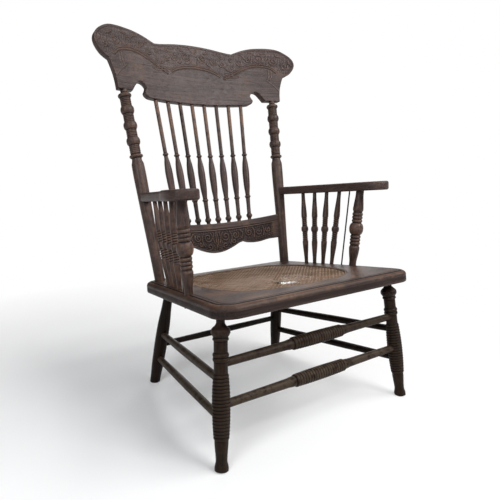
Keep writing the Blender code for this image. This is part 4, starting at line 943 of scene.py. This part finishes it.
TIES = [[(160, 86), (140, 80), (118, 83.5), (92, 93)], [(158, 80), (138, 74), (112, 76.5), (90, 86)],
        [(150, 94), (132, 88), (108, 90.5)]]
STEMS = [[(263, 106), (262, 88), (256, 74)], [(271, 104), (270, 86), (263, 73)],
         [(252, 72), (272, 56), (293, 33)]]
PLAIN_STRIP = 19.0                # millimetres above the lower rail's quirk line
RAIL_SCROLLS = [(33, -43, 16.5, 2.2, 9), (30, -72, 11, -1, -7), (70, -42, 12, 0.6, -8),
                (118, -38, 12, 2.4, 8), (152, -40, 10.5, 0.3, -7.5), (186, -36, 9, 2.6, 7),
                (62, -61, 8, 3, 6.5)]
RAIL_LEAVES = [[(2, -28), (3.5, -50), (2, -78)], [(10, -30), (14, -48), (10, -62)],
               [(50, -30), (56, -48), (48, -68)], [(88, -28), (96, -40), (90, -54)],
               [(132, -24), (138, -38), (134, -56)], [(168, -24), (172, -38), (168, -52)]]


def both_sides(draw, rows):
    """The lines drawn from some rows, and their mirror images across the chair's middle."""
    lines = [draw(*row) for row in rows]
    return lines + [line * (-1, 1) for line in lines]


def through(*points):
    """A smooth line through some points."""
    return arc_line(points)


def ridge(gap, width):
    """A rounded ridge: exp(-(gap / width)^2)."""
    return np.exp(-(gap / width) ** 2)


def eased(value, start, width):
    """How far a value is from start to start + width, held at both ends."""
    return np.clip((value - start) / width, 0, 1)


def rim_gap(x, y, half):
    """The distance from every point to the outline of a board, given its right half."""
    outline = smooth_outline(mirrored(half), 6)
    return near_lines(x, y, [np.concatenate([outline, outline[:1]])])


def arch_height(x):
    """The height of the carved arches over a place across the crest rail."""
    knots = np.array([(400, 60), (300, 90)] + WING_ARC[:-1] + HUMP_ARC)[::-1]
    return np.interp(np.abs(x), *knots.T)


def carved_crest(x, y, depth):
    """Raised double arches, a sunk stippled ground with scrolls above them, and leaf ties.

    Each line adds depth * exp(-(distance / width)^2), and the ground falls by a smooth step.
    """
    x, y = x / MM, y / MM
    arcs = both_sides(through, (WING_ARC, HUMP_ARC))
    first, second = near_lines(x, y, arcs), near_lines(x, y, [line + (0, 6.8) for line in arcs])
    field = eased(y - arch_height(x), 10, 2) * eased(rim_gap(x, y, crest_half()), 6, 2)
    raised = (ridge(first, 2.1) - 0.6 * ridge(first - 4.2, 1.2) + 0.75 * ridge(second, 1.7)
              + 0.8 * ridge(near_lines(x, y, both_sides(through, TIES)), 1.9)
              + 0.6 * ridge(near_lines(x, y, both_sides(through, STEMS)), 1.4))
    stipple = ripple(x, y, 3, 5.2) * 0.16 + ripple(x, y, 8, 12) * 0.15
    blades = np.maximum(ridge(near_lines(x, y, both_sides(scroll, CREST_SCROLLS)), 2.1),
                        ridge(near_lines(x, y, both_sides(leaf, CREST_LEAVES)), 2.6))
    ground = field * (-0.8 + stipple + 1.1 * blades)
    return depth * np.where(field > 0.02, ground + raised * (1 - field), raised)


def carved_rail(x, y, depth):
    """A quirk line below a plain strip, and C-scrolls with leaves on the three lobes below it."""
    x, y = x / MM, y / MM
    below = RAIL_HOLLOW * (x * MM / POST_FOOT_ACROSS) ** 2 - PLAIN_STRIP - y
    field = (eased(below, 3.5, 1.5) * eased(rim_gap(x, y, rail_half()), 3.5, 1.5)
             * eased(205 - np.abs(x), 0, 10))
    blades = np.maximum(ridge(near_lines(x, y, both_sides(scroll, RAIL_SCROLLS)), 2),
                        ridge(near_lines(x, y, both_sides(through, RAIL_LEAVES)), 2.2))
    stipple = 0.25 * ripple(x, y, 21, 5)
    return depth * (field * (-1.1 + stipple + 1.6 * blades) - 0.9 * ridge(below, 1.1))


# Materials

class Bench:
    """Builds one material's nodes, each placed a step further right."""

    def __init__(self, name):
        material = bpy.data.materials.new(name)
        material.use_nodes = True
        self.tree = material.node_tree
        self.shader = self.tree.nodes["Principled BSDF"]
        self.step = -1600

    def node(self, kind, values=None, **settings):
        """A node with its settings; values go to its inputs, and a socket is linked."""
        made = self.tree.nodes.new("ShaderNode" + kind)
        made.location = (self.step, (self.step * 7) % 500)
        self.step += 60
        for key, value in settings.items():
            setattr(made, key, value)
        self.fill(made, values or {})
        return made

    def fill(self, node, values):
        """Sets a node's inputs, or links them where the value is a socket."""
        for key, value in values.items():
            if isinstance(value, bpy.types.NodeSocket):
                self.tree.links.new(value, node.inputs[key])
            else:
                node.inputs[key].default_value = value

    def note(self, name, output="Fac"):
        """One of the numbers or vectors that a mesh keeps at its points."""
        return self.node("Attribute", attribute_name=name).outputs[output]

    def place(self):
        """The point of the object that is shaded."""
        return self.node("TexCoord").outputs["Object"]

    def noise(self, vector, stretch=(1, 1, 1), detail=4.0, rough=0.55, scale=1.0):
        """Noise whose cells are longer along an axis where stretch is small."""
        mapped = self.node("Mapping", {"Vector": vector, "Scale": stretch}).outputs[0]
        return self.node("TexNoise", {"Vector": mapped, "Scale": scale, "Detail": detail,
                                      "Roughness": rough}).outputs["Fac"]

    def ramp(self, value, low, high, first=0.0, last=1.0):
        """A value's range low to high spread over first to last, held at both ends."""
        return self.node("MapRange", {"Value": value, "From Min": low, "From Max": high,
                                      "To Min": first, "To Max": last}).outputs[0]

    def math(self, operation, first, second=0.0):
        """A sum, product or maximum of two values."""
        return self.node("Math", {0: first, 1: second}, operation=operation).outputs[0]

    def mix(self, share, first, second, blend="MIX"):
        """A share of the second colour over the first."""
        return self.node("Mix", {0: share, 6: first, 7: second}, data_type="RGBA",
                         blend_type=blend).outputs[2]

    def bump(self, height, depth, strength, below=None):
        """A normal bent by a height, on top of another bump if there is one."""
        values = {"Height": height, "Distance": depth, "Strength": strength}
        if below is not None:
            values["Normal"] = below
        return self.node("Bump", values).outputs[0]


def colour(values, factor=1.0):
    """A colour made lighter or darker by a factor, with full alpha."""
    return (*[value * factor for value in values], 1.0)


def oak_material(name, sizes):
    """Old dark varnish over oak: streaked grain, open pores, dirt and painted shade in hollows, high
    spots rubbed and lightened as a painted highlight.

    Below the seat the wood is painted darker and browner as shade, with greyer worn spots, by the
    height of the point.
    """
    # grey is the worn colour below the seat; high_grey colours its high spots, rubbed and lit by a
    # painted highlight.
    grey, high_grey = (0.20, 0.175, 0.180, 1), (0.19, 0.155, 0.135, 1)
    # Tint that multiplies the wood below the seat darker and browner, a painted shade.
    below_seat_shade_tint = (0.36, 0.29, 0.19, 1)
    bench = Bench(name)
    grain = bench.note("grain", "Vector")
    streak = bench.noise(grain, (230, 230, 7), 6.0, 0.66)
    broad = bench.noise(grain, (34, 34, 6), 3.0, 0.5)
    flake = bench.noise(grain, (160, 160, 70), 3.0, 0.5)
    pores = bench.noise(grain, (1500, 1500, 55), 2.0, 0.5)
    grime = bench.noise(grain, (55, 55, 55), 5.0, 0.65)
    body = bench.mix(bench.ramp(streak, 0.30, 0.72), colour(sizes.oak_dark),
                     colour(sizes.oak_light))
    # Each piece's tone, which on the pieces set low is a painted shade.
    tone_and_shade = bench.math("MULTIPLY", bench.note("tone_and_shade"), 0.10)
    shade = bench.math("ADD", bench.ramp(broad, 0.25, 0.75, 0.70, 1.28), tone_and_shade)
    height = bench.node("SeparateXYZ", {0: bench.place()}).outputs["Z"]
    # Painted shade below the seat: none above 0.40 m, full at 0.27 m and lower.
    below_seat_shade = bench.ramp(height, 0.40, 0.27)
    body = bench.node("HueSaturation", {"Value": shade, "Color": body}).outputs[0]
    body = bench.mix(bench.ramp(flake, 0.60, 0.78, 0.0, 0.35), body, colour(sizes.oak_light, 1.35))
    # Worn spots, which on the seat's top are also a painted sheen.
    bare = bench.math("MULTIPLY", bench.note("wear_and_sheen"), bench.ramp(grime, 0.36, 0.62))
    below = bench.ramp(height, 0.31, 0.27)
    rubbed = bench.mix(below, colour(sizes.oak_worn_and_highlight), grey)
    body = bench.mix(bench.ramp(bare, 0.05, 0.55, 0.0, 0.85), body, rubbed)
    # High spots: rubbed varnish and a painted highlight, mixed towards the worn colour as a point
    # stands above its neighbourhood.
    high = bench.ramp(bench.note("hollow"), -0.15, -0.9, 0.0, 0.48)
    body = bench.mix(high, body, bench.mix(below, colour(sizes.oak_worn_and_highlight, 0.75), high_grey))
    pore = bench.ramp(pores, 0.60, 0.70)
    body = bench.mix(bench.math("MULTIPLY", pore, 0.65), body, colour(sizes.oak_dark, 0.35))
    # Hollows: dirt and painted shade, darker towards deep brown as a point lies below its
    # neighbourhood.
    deep = bench.ramp(bench.note("hollow"), 0.06, 0.65, 0.0, 0.90)
    body = bench.mix(deep, body, colour(sizes.oak_dark, 0.22))
    # Below the seat the wood is multiplied darker and browner, a painted shade.
    body = bench.mix(below_seat_shade, body, below_seat_shade_tint, "MULTIPLY")
    rough = bench.math("ADD", bench.ramp(grime, 0.3, 0.7, 0.38, 0.50),
                       bench.math("MULTIPLY", deep, 0.3))
    sheen = bench.ramp(below_seat_shade, 0.0, 1.0, 0.25, 0.12)
    under = bench.bump(streak, 0.00035, 0.55)
    over = bench.bump(bench.math("MULTIPLY", pore, -1.0), 0.0003, 0.5, under)
    bench.fill(bench.shader, {"Base Color": body, "Roughness": rough, "Specular IOR Level": sheen,
                              "Normal": bench.bump(grime, 0.0008, 0.14, over)})


def cane_material(name, tint, factor):
    """Aged cane: fine fibres along each strand, darker patches of dirt, a soft sheen."""
    bench = Bench(name)
    fibre = bench.noise(bench.note("grain", "Vector"), (2600, 900, 30), 4.0, 0.6)
    darkening = bench.noise(bench.place(), detail=5.0, rough=0.6, scale=26.0)
    body = bench.mix(bench.ramp(fibre, 0.32, 0.68), colour(tint, 0.62 * factor),
                     colour(tint, 1.25 * factor))
    body = bench.mix(bench.ramp(darkening, 0.42, 0.70, 0.0, 0.6), body, colour(tint, 0.42 * factor))
    # Tone of each strand, which also carries the painted shade on the strands' lower corners.
    tone_and_shade = bench.node("Math", {0: bench.note("tone_and_shade"), 1: 0.16, 2: 1.0}, operation="MULTIPLY_ADD")
    body = bench.node("HueSaturation", {"Value": tone_and_shade.outputs[0], "Color": body}).outputs[0]
    bench.fill(bench.shader, {"Base Color": body,
                              "Roughness": bench.ramp(darkening, 0.3, 0.7, 0.42, 0.70),
                              "Normal": bench.bump(fibre, 0.0002, 0.5)})


def steel_material(name):
    """Dulled steel with brown rust where noise is high."""
    bench = Bench(name)
    patch = bench.noise(bench.place(), detail=5.0, rough=0.6, scale=260.0)
    rust = bench.ramp(patch, 0.45, 0.62)
    body = bench.mix(rust, (0.060, 0.055, 0.052, 1), (0.050, 0.022, 0.011, 1))
    bench.fill(bench.shader, {"Base Color": body,
                              "Roughness": bench.ramp(patch, 0.4, 0.65, 0.38, 0.85),
                              "Metallic": bench.ramp(patch, 0.45, 0.62, 0.85, 0.05),
                              "Normal": bench.bump(patch, 0.0003, 0.5)})


def bare_wood_material(name):
    """Bare end grain of a dowel: pale with darker rings."""
    bench = Bench(name)
    ring = bench.noise(bench.place(), (1, 0.1, 1), 4.0, 0.6, 300.0)
    body = bench.mix(ring, (0.30, 0.20, 0.12, 1), (0.52, 0.38, 0.25, 1))
    bench.fill(bench.shader, {"Base Color": body,
                              "Roughness": bench.ramp(ring, 0.3, 0.7, 0.55, 0.8),
                              "Normal": bench.bump(ring, 0.0002, 0.4)})


def floor_material(name):
    """A pale matt floor that gives little light back, and is plain white to the camera far off.

    Light Path tells the rays apart, and the distance from the middle of the floor sets the fade.
    """
    bench = Bench(name)
    path = bench.node("LightPath").outputs
    seen = bench.math("MAXIMUM", path["Is Camera Ray"], path["Is Glossy Ray"])
    seen = bench.math("MAXIMUM", seen, path["Is Transmission Ray"])
    pale = bench.node("BsdfDiffuse", {"Color": (0.985, 0.982, 0.978, 1)}).outputs[0]
    quiet = bench.node("BsdfDiffuse", {"Color": (0.16, 0.155, 0.15, 1)}).outputs[0]
    white = bench.node("Emission", {"Color": (1, 1, 1, 1), "Strength": 1.0}).outputs[0]
    away = bench.node("VectorMath", {0: bench.place(), 1: (-0.30, 0.15, 0)}, operation="DISTANCE")
    far = bench.ramp(away.outputs["Value"], 0.30, 1.35, 0.05, 1.0)
    both = bench.node("MixShader", {0: far, 1: pale, 2: white}).outputs[0]
    all_rays = bench.node("MixShader", {0: seen, 1: quiet, 2: both}).outputs[0]
    bench.fill(bench.tree.nodes["Material Output"], {"Surface": all_rays})
    bench.tree.nodes.remove(bench.shader)


def coat(node, look):
    """Gives a finish to a CAD node that stays as it is."""
    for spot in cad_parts[node].material_slots:
        spot.material = bpy.data.materials[look]


# Sizes and colours that a user may change

class ArmchairLooks(bpy.types.PropertyGroup):
    """The colours of the finishes, the sizes of cane and carving, and the lamps"""
    oak_dark: bpy.props.FloatVectorProperty(
        name="Dark grain", description="Colour of the dark streaks of the varnished oak",
        default=(0.026, 0.0160, 0.0138), subtype="COLOR", min=0, max=1)
    oak_light: bpy.props.FloatVectorProperty(
        name="Light grain", description="Colour of the light streaks of the varnished oak",
        default=(0.106, 0.0680, 0.0600), subtype="COLOR", min=0, max=1)
    # Colour of rubbed varnish, which, darkened, also colours the painted highlight on high spots.
    oak_worn_and_highlight: bpy.props.FloatVectorProperty(
        name="Worn oak", description="Colour where the varnish is rubbed thin",
        default=(0.215, 0.120, 0.078), subtype="COLOR", min=0, max=1)
    cane_tint: bpy.props.FloatVectorProperty(
        name="Cane", description="Colour of the aged caning",
        default=(0.390, 0.235, 0.138), subtype="COLOR", min=0, max=1)
    fray_tint: bpy.props.FloatVectorProperty(
        name="Broken cane", description="Colour of the fresh breaks at the tear",
        default=(0.52, 0.42, 0.32), subtype="COLOR", min=0, max=1)
    cane_pitch: bpy.props.FloatProperty(
        name="Cane pitch", description="Distance between the pairs of strands",
        default=0.0127, min=0.008, max=0.02, unit="LENGTH")
    strand_width: bpy.props.FloatProperty(
        name="Strand width", description="Width of one strand of cane",
        default=0.0017, min=0.001, max=0.004, unit="LENGTH")
    strand_thickness: bpy.props.FloatProperty(
        name="Strand thickness", description="Thickness of one strand of cane",
        default=0.0008, min=0.0002, max=0.0015, unit="LENGTH")
    carving_depth: bpy.props.FloatProperty(
        name="Carving depth", description="Depth of the carving on the crest and lower rails",
        default=0.0013, min=0, max=0.003, unit="LENGTH")
    key_power: bpy.props.FloatProperty(
        name="Key light", description="Power of the large lamp at the right",
        default=64.0, min=0, unit="POWER")
    side_power: bpy.props.FloatProperty(
        name="Side light", description="Power of the soft lamp farther round to the right",
        default=46.0, min=0, unit="POWER")
    fill_power: bpy.props.FloatProperty(
        name="Fill light", description="Power of the soft lamp at the left",
        default=50.0, min=0, unit="POWER")
    top_power: bpy.props.FloatProperty(
        name="Top light", description="Power of the wide lamp overhead",
        default=16.0, min=0, unit="POWER")
    back_power: bpy.props.FloatProperty(
        name="Back light", description="Power of the soft lamp behind at the right",
        default=26.0, min=0, unit="POWER")


def looks():
    """The values of the sizes and colours."""
    return bpy.context.scene.armchair_looks

# Pieces

def frame_of_arm(side):
    """An arm's origin, its directions out, back and up, and how far back its end lies."""
    foot, head = axis_of("arm_post_" + side)
    up = np.array((0, math.sin(ARM_SLOPE), math.cos(ARM_SLOPE)))
    origin = head - unit(head - foot) * ARM_SOCKET + up * ARM_THICK / 2
    low, high = axis_of("back_post_" + side)
    below, above = (low - origin) @ up, (high - origin) @ up
    target = low + (high - low) * below / (below - above)
    back = unit(target - origin)
    points = cad_points("arm_" + side)
    return origin, np.cross(back, up), back, up, ((points - origin) @ back).max()


def arm_board(sign, side):
    """An arm: a paddle-shaped slab, its upper face hollowed a little and rubbed along the edge."""
    origin, out, back, up, end = frame_of_arm(side)

    def dished(x, y):
        away = np.clip(1 - np.hypot((x - sign * 0.0095) / 0.040, (y + 0.02) / 0.075), 0, 1)
        return -0.0011 * away ** 0.5 + 0.00012 * ripple(x, y, 9, 0.02)

    def place(x, y, z):
        return origin + x[:, None] * out + y[:, None] * back + z[:, None] * up

    def rubbed(x, y, z):
        patches = np.clip(0.20 + 0.5 * ripple(x, y, 6, 0.05), 0, 1)
        rim = np.clip(np.abs(z) / (ARM_THICK / 2), 0, 1) * 0.5
        return patches * np.clip(1.2 - np.clip(y, 0, 1) / 0.25, 0, 1) * rim

    slab("arm_" + side, arm_whole(sign, end / MM), 0.0030, rounded(ARM_THICK, 0.0055, 6), dished,
         place, 1, rubbed)


def patchy(least, swing, seed, size):
    """Wear in patches: least + swing * ripple, between 0 and 1."""
    return lambda x, y, z: np.clip(least + swing * ripple(x, y, seed, size), 0, 1)


class ARMCHAIR_OT_materials(bpy.types.Operator):
    """Make the finishes: old oak, cane, steel and bare wood"""
    bl_idname = "armchair.materials"
    bl_label = "Finishes"

    def execute(self, context):
        sizes = looks()
        oak_material("Old oak", sizes)
        cane_material("Woven cane", sizes.cane_tint, 1.0)
        cane_material("Dark cane", sizes.cane_tint, 0.42)
        cane_material("Broken cane", sizes.fray_tint, 1.0)
        steel_material("Rusted steel")
        bare_wood_material("Bare dowel")
        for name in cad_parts:
            if name.startswith("dowel_"):
                coat(name, "Bare dowel")
        return {"FINISHED"}


class ARMCHAIR_OT_seat(bpy.types.Operator):
    """Make the four boards of the seat with their moulded edge"""
    bl_idname = "armchair.seat"
    bl_label = "Seat boards"

    def execute(self, context):
        front, rear, gap = FRONT_JOINT, REAR_JOINT, JOINT_GAP
        seat_board("seat_front_rail", (-1, front - gap), (1, front - gap), 260, 0)
        seat_board("seat_right_rail", (1, front + gap), (1, rear - gap), 110, 1)
        seat_board("seat_rear_rail", (1, rear + gap), (-1, rear + gap), 240, 0)
        seat_board("seat_left_rail", (-1, rear - gap), (-1, front + gap), 110, 1)
        return {"FINISHED"}


class ARMCHAIR_OT_cane(bpy.types.Operator):
    """Weave the caned seat with its tear, and lay the reed round it"""
    bl_idname = "armchair.cane"
    bl_label = "Caning"

    def execute(self, context):
        sizes = looks()
        pitch, width, thick = sizes.cane_pitch, sizes.strand_width, sizes.strand_thickness
        cane_piece("cane_panel_square_weave", square_strands(pitch, width, thick), "Woven cane",
                   ("cane_panel",))
        cane_piece("cane_panel_slanting_weave", slanting_strands(pitch, width, thick), "Woven cane")
        cane_piece("cane_panel_broken_ends", fray_strands(width, thick), "Broken cane")
        cane_spline()
        return {"FINISHED"}


class ARMCHAIR_OT_legs(bpy.types.Operator):
    """Turn the legs and the stretchers"""
    bl_idname = "armchair.legs"
    bl_label = "Legs and stretchers"

    def execute(self, context):
        # The rear legs and the right side's stretchers are set low in tone: painted shade on the far
        # pieces.
        for side, rubbed, tone_and_shade in (("left", 0.75, 1.0), ("right", 0.15, -5.0)):
            turned("front_leg_" + side, front_leg_shape, 0.0, 0.0008, 40, 0.15)
            turned("rear_leg_" + side, rear_leg_shape, 0.0, 0.004, 32, 0.05, tone_and_shade=-5.0)
            for level in ("upper", "lower"):
                turned("side_stretcher_" + side + "_" + level, plain_shape(9), 0.0, 0.006, 24,
                       rubbed, tone_and_shade=tone_and_shade)
        for level, rubbed in (("upper", 0.35), ("lower", 0.80)):
            turned("front_stretcher_" + level, front_stretcher_shape, 0.0, 0.0009, 32, rubbed)
        # The rear stretcher's low tone is painted shade.
        turned("rear_stretcher", plain_shape(8.3), 0.0, 0.006, 24, 0.05, tone_and_shade=-6.0)
        return {"FINISHED"}


class ARMCHAIR_OT_back(bpy.types.Operator):
    """Turn the posts and spindles of the back and carve its two rails"""
    bl_idname = "armchair.back"
    bl_label = "Back"

    def execute(self, context):
        depth = looks().carving_depth
        for side in ("left", "right"):
            turned("back_post_" + side, post_shape, -0.014, 0.0010, 36, 0.22)
        for i, tone_and_shade in enumerate((1.5, 0.5, -3.0, 0.0, 1.0, -1.0, -1.5, 0.0)):
            most = 0.9 if i % 3 < 2 else 0.225
            turned("back_spindle_" + str(i + 1), back_spindle_shape, -0.012, 0.0011, 24, 0.15,
                   worn=lambda t, end: most * np.clip(t / end * 2.2 - 1.2, 0, 1), tone_and_shade=tone_and_shade)
        slab("crest_rail", mirrored(crest_half()), 0.0012, rounded(CREST_THICK, 0.0022),
             lambda x, y: carved_crest(x, y, depth), crest_place, 0,
             patchy(0.04, 0.14, 4, 0.12), 0.12)
        slab("lower_back_rail", mirrored(rail_half()), 0.0011, rounded(RAIL_THICK, 0.0018),
             lambda x, y: carved_rail(x, y, depth), rail_place, 0,
             patchy(0.10, 0.25, 14, 0.10), 0.95)
        return {"FINISHED"}


class ARMCHAIR_OT_arms(bpy.types.Operator):
    """Shape the arms, turn their posts, spindles and tie rods, and give the nuts and screws a steel
    finish
    """
    bl_idname = "armchair.arms"
    bl_label = "Arms"

    def execute(self, context):
        # Wear and a painted highlight round the arm post's ball.
        def ball_wear_and_highlight(t, end):
            gap = t - arm_post_middle(end)
            return 0.12 * ridge(gap, 16) + 0.15 * ridge(gap, 70)

        for sign, side in ((-1, "left"), (1, "right")):
            arm_board(sign, side)
            turned("arm_post_" + side, arm_post_shape, -0.020, 0.0007, 44, 0.20, worn=ball_wear_and_highlight)
            for i in range(4):
                turned("arm_spindle_" + side + "_" + str(i + 1), arm_spindle_shape, -0.012, 0.0007,
                       26, 0.30)
            turned("arm_tie_rod_" + side, lambda t, end: np.full_like(t, 2.1), 0.0, 0.01, 14,
                   look="Rusted steel")
            for kind in ("tie_rod_nut_", "arm_screw_"):
                coat(kind + side, "Rusted steel")
        return {"FINISHED"}


# The stage

PHOTO_SIZE = 500                  # pixels
SENSOR = 36.0                     # millimetres
FOCAL = 477.9                     # pixels
PHOTO_CENTRE = (227.8, 234.4)     # pixels, from the left and from the top
CAMERA_PLACE = (-0.799, -1.09392, 0.639)
CAMERA_TURN = (0.586, -0.143, -0.010)
WORLD_LIGHT = (0.62, 0.62, 0.63, 1)
WORLD_STRENGTH = 0.18
WHITE = (1, 1, 1, 1)


def posed(side, lift, away, where):
    """The matrix of something at a place, from its directions to the right, up and backwards."""
    return Matrix(np.column_stack([side, lift, away, where]).tolist() + [[0, 0, 0, 1]])


def area_lamp(name, where, towards, size, power, tint=(1, 1, 1)):
    """A square area lamp that looks at a point."""
    data = bpy.data.lights.new(name, "AREA")
    data.shape, data.size, data.energy, data.color = "SQUARE", size, power, tint
    lamp = bpy.data.objects.new(name, data)
    away = unit(np.array(where, float) - np.array(towards, float))
    side = unit(np.cross((0, 0, 1), away))
    lamp.matrix_world = posed(side, np.cross(away, side), away, where)
    lamp.visible_camera = False
    bpy.context.scene.collection.objects.link(lamp)


def floor_piece():
    """A wide square floor just below the feet."""
    mesh = bpy.data.meshes.new("floor")
    corners = [(x * FLOOR_REACH, y * FLOOR_REACH, FLOOR_DROP)
               for x, y in ((-1, -1), (1, -1), (1, 1), (-1, 1))]
    mesh.from_pydata(corners, [], [(0, 1, 2, 3)])
    plane = bpy.data.objects.new("floor", mesh)
    bpy.context.scene.collection.objects.link(plane)
    floor_material("Pale floor")
    mesh.materials.append(bpy.data.materials["Pale floor"])


def studio_world():
    """A dim grey world that lights the chair, and is plain white to the camera."""
    world = bpy.data.worlds.new("Studio")
    bpy.context.scene.world = world
    world.use_nodes = True
    nodes, links = world.node_tree.nodes, world.node_tree.links
    dim = nodes["Background"]
    plain, path, either, mixed = [nodes.new("ShaderNode" + kind) for kind in
                                  ("Background", "LightPath", "Math", "MixShader")]
    either.operation = "MAXIMUM"
    for node, tint, strength in ((dim, WORLD_LIGHT, WORLD_STRENGTH), (plain, WHITE, 1.0)):
        node.inputs[0].default_value, node.inputs[1].default_value = tint, strength
    for output, socket in ((path.outputs["Is Camera Ray"], either.inputs[0]),
                           (path.outputs["Is Transmission Ray"], either.inputs[1]),
                           (either.outputs[0], mixed.inputs[0]), (dim.outputs[0], mixed.inputs[1]),
                           (plain.outputs[0], mixed.inputs[2]),
                           (mixed.outputs[0], nodes["World Output"].inputs[0])):
        links.new(output, socket)


def photo_camera():
    """The camera fitted to the photo, turned by its pan, tilt and roll."""
    data = bpy.data.cameras.new("Camera")
    data.sensor_fit, data.sensor_width = "HORIZONTAL", SENSOR
    data.lens = FOCAL / PHOTO_SIZE * SENSOR
    data.shift_x = (PHOTO_SIZE / 2 - PHOTO_CENTRE[0]) / PHOTO_SIZE
    data.shift_y = (PHOTO_CENTRE[1] - PHOTO_SIZE / 2) / PHOTO_SIZE
    camera = bpy.data.objects.new("Camera", data)
    pan, tilt, roll = CAMERA_TURN
    ahead = np.array((math.sin(pan) * math.cos(tilt), math.cos(pan) * math.cos(tilt),
                      math.sin(tilt)))
    level = np.array((math.cos(pan), -math.sin(pan), 0.0))
    upright = np.cross(level, ahead)
    right = level * math.cos(roll) + upright * math.sin(roll)
    lift = upright * math.cos(roll) - level * math.sin(roll)
    camera.matrix_world = posed(right, lift, -ahead, CAMERA_PLACE)
    bpy.context.scene.collection.objects.link(camera)
    bpy.context.scene.camera = camera


class ARMCHAIR_OT_stage(bpy.types.Operator):
    """Set the floor, the lamps, the world and the camera"""
    bl_idname = "armchair.stage"
    bl_label = "Stage"

    def execute(self, context):
        sizes = looks()
        floor_piece()
        area_lamp("Key", (0.98, -2.52, 2.45), (0, 0, 0.45), 1.3, sizes.key_power)
        area_lamp("Side", (2.0, -1.35, 2.6), (0, 0, 0.45), 1.6, sizes.side_power)
        area_lamp("Fill", (-2.6, -1.5, 1.9), (0, 0, 0.6), 1.5, sizes.fill_power, (0.92, 0.96, 1.0))
        area_lamp("Top", (0.1, 0.3, 3.2), (0, 0, 0.4), 2.2, sizes.top_power)
        area_lamp("Back", (1.9, 2.4, 1.5), (0, 0, 0.5), 2.0, sizes.back_power)
        studio_world()
        photo_camera()
        context.scene.view_settings.view_transform = "Standard"
        return {"FINISHED"}


class ARMCHAIR_PT_panel(bpy.types.Panel):
    """Lists the armchair's sizes, colours and pieces"""
    bl_label = "Armchair"
    bl_idname = "ARMCHAIR_PT_panel"
    bl_space_type = "VIEW_3D"
    bl_region_type = "UI"
    bl_category = "Armchair"

    def draw(self, context):
        for name in ArmchairLooks.__annotations__:
            self.layout.prop(context.scene.armchair_looks, name)
        for operator in OPERATORS:
            self.layout.operator(operator.bl_idname)


OPERATORS = (ARMCHAIR_OT_materials, ARMCHAIR_OT_seat, ARMCHAIR_OT_cane, ARMCHAIR_OT_legs,
             ARMCHAIR_OT_back, ARMCHAIR_OT_arms, ARMCHAIR_OT_stage)
CLASSES = (ArmchairLooks, *OPERATORS, ARMCHAIR_PT_panel)


def register():
    for kind in CLASSES:
        bpy.utils.register_class(kind)
    bpy.types.Scene.armchair_looks = bpy.props.PointerProperty(type=ArmchairLooks)


def unregister():
    del bpy.types.Scene.armchair_looks
    for kind in reversed(CLASSES):
        bpy.utils.unregister_class(kind)


def main():
    """Makes every piece and the stage."""
    register()
    for operator in OPERATORS:
        group, action = operator.bl_idname.split(".")
        getattr(getattr(bpy.ops, group), action)()


if __name__ == "__main__":
    main()
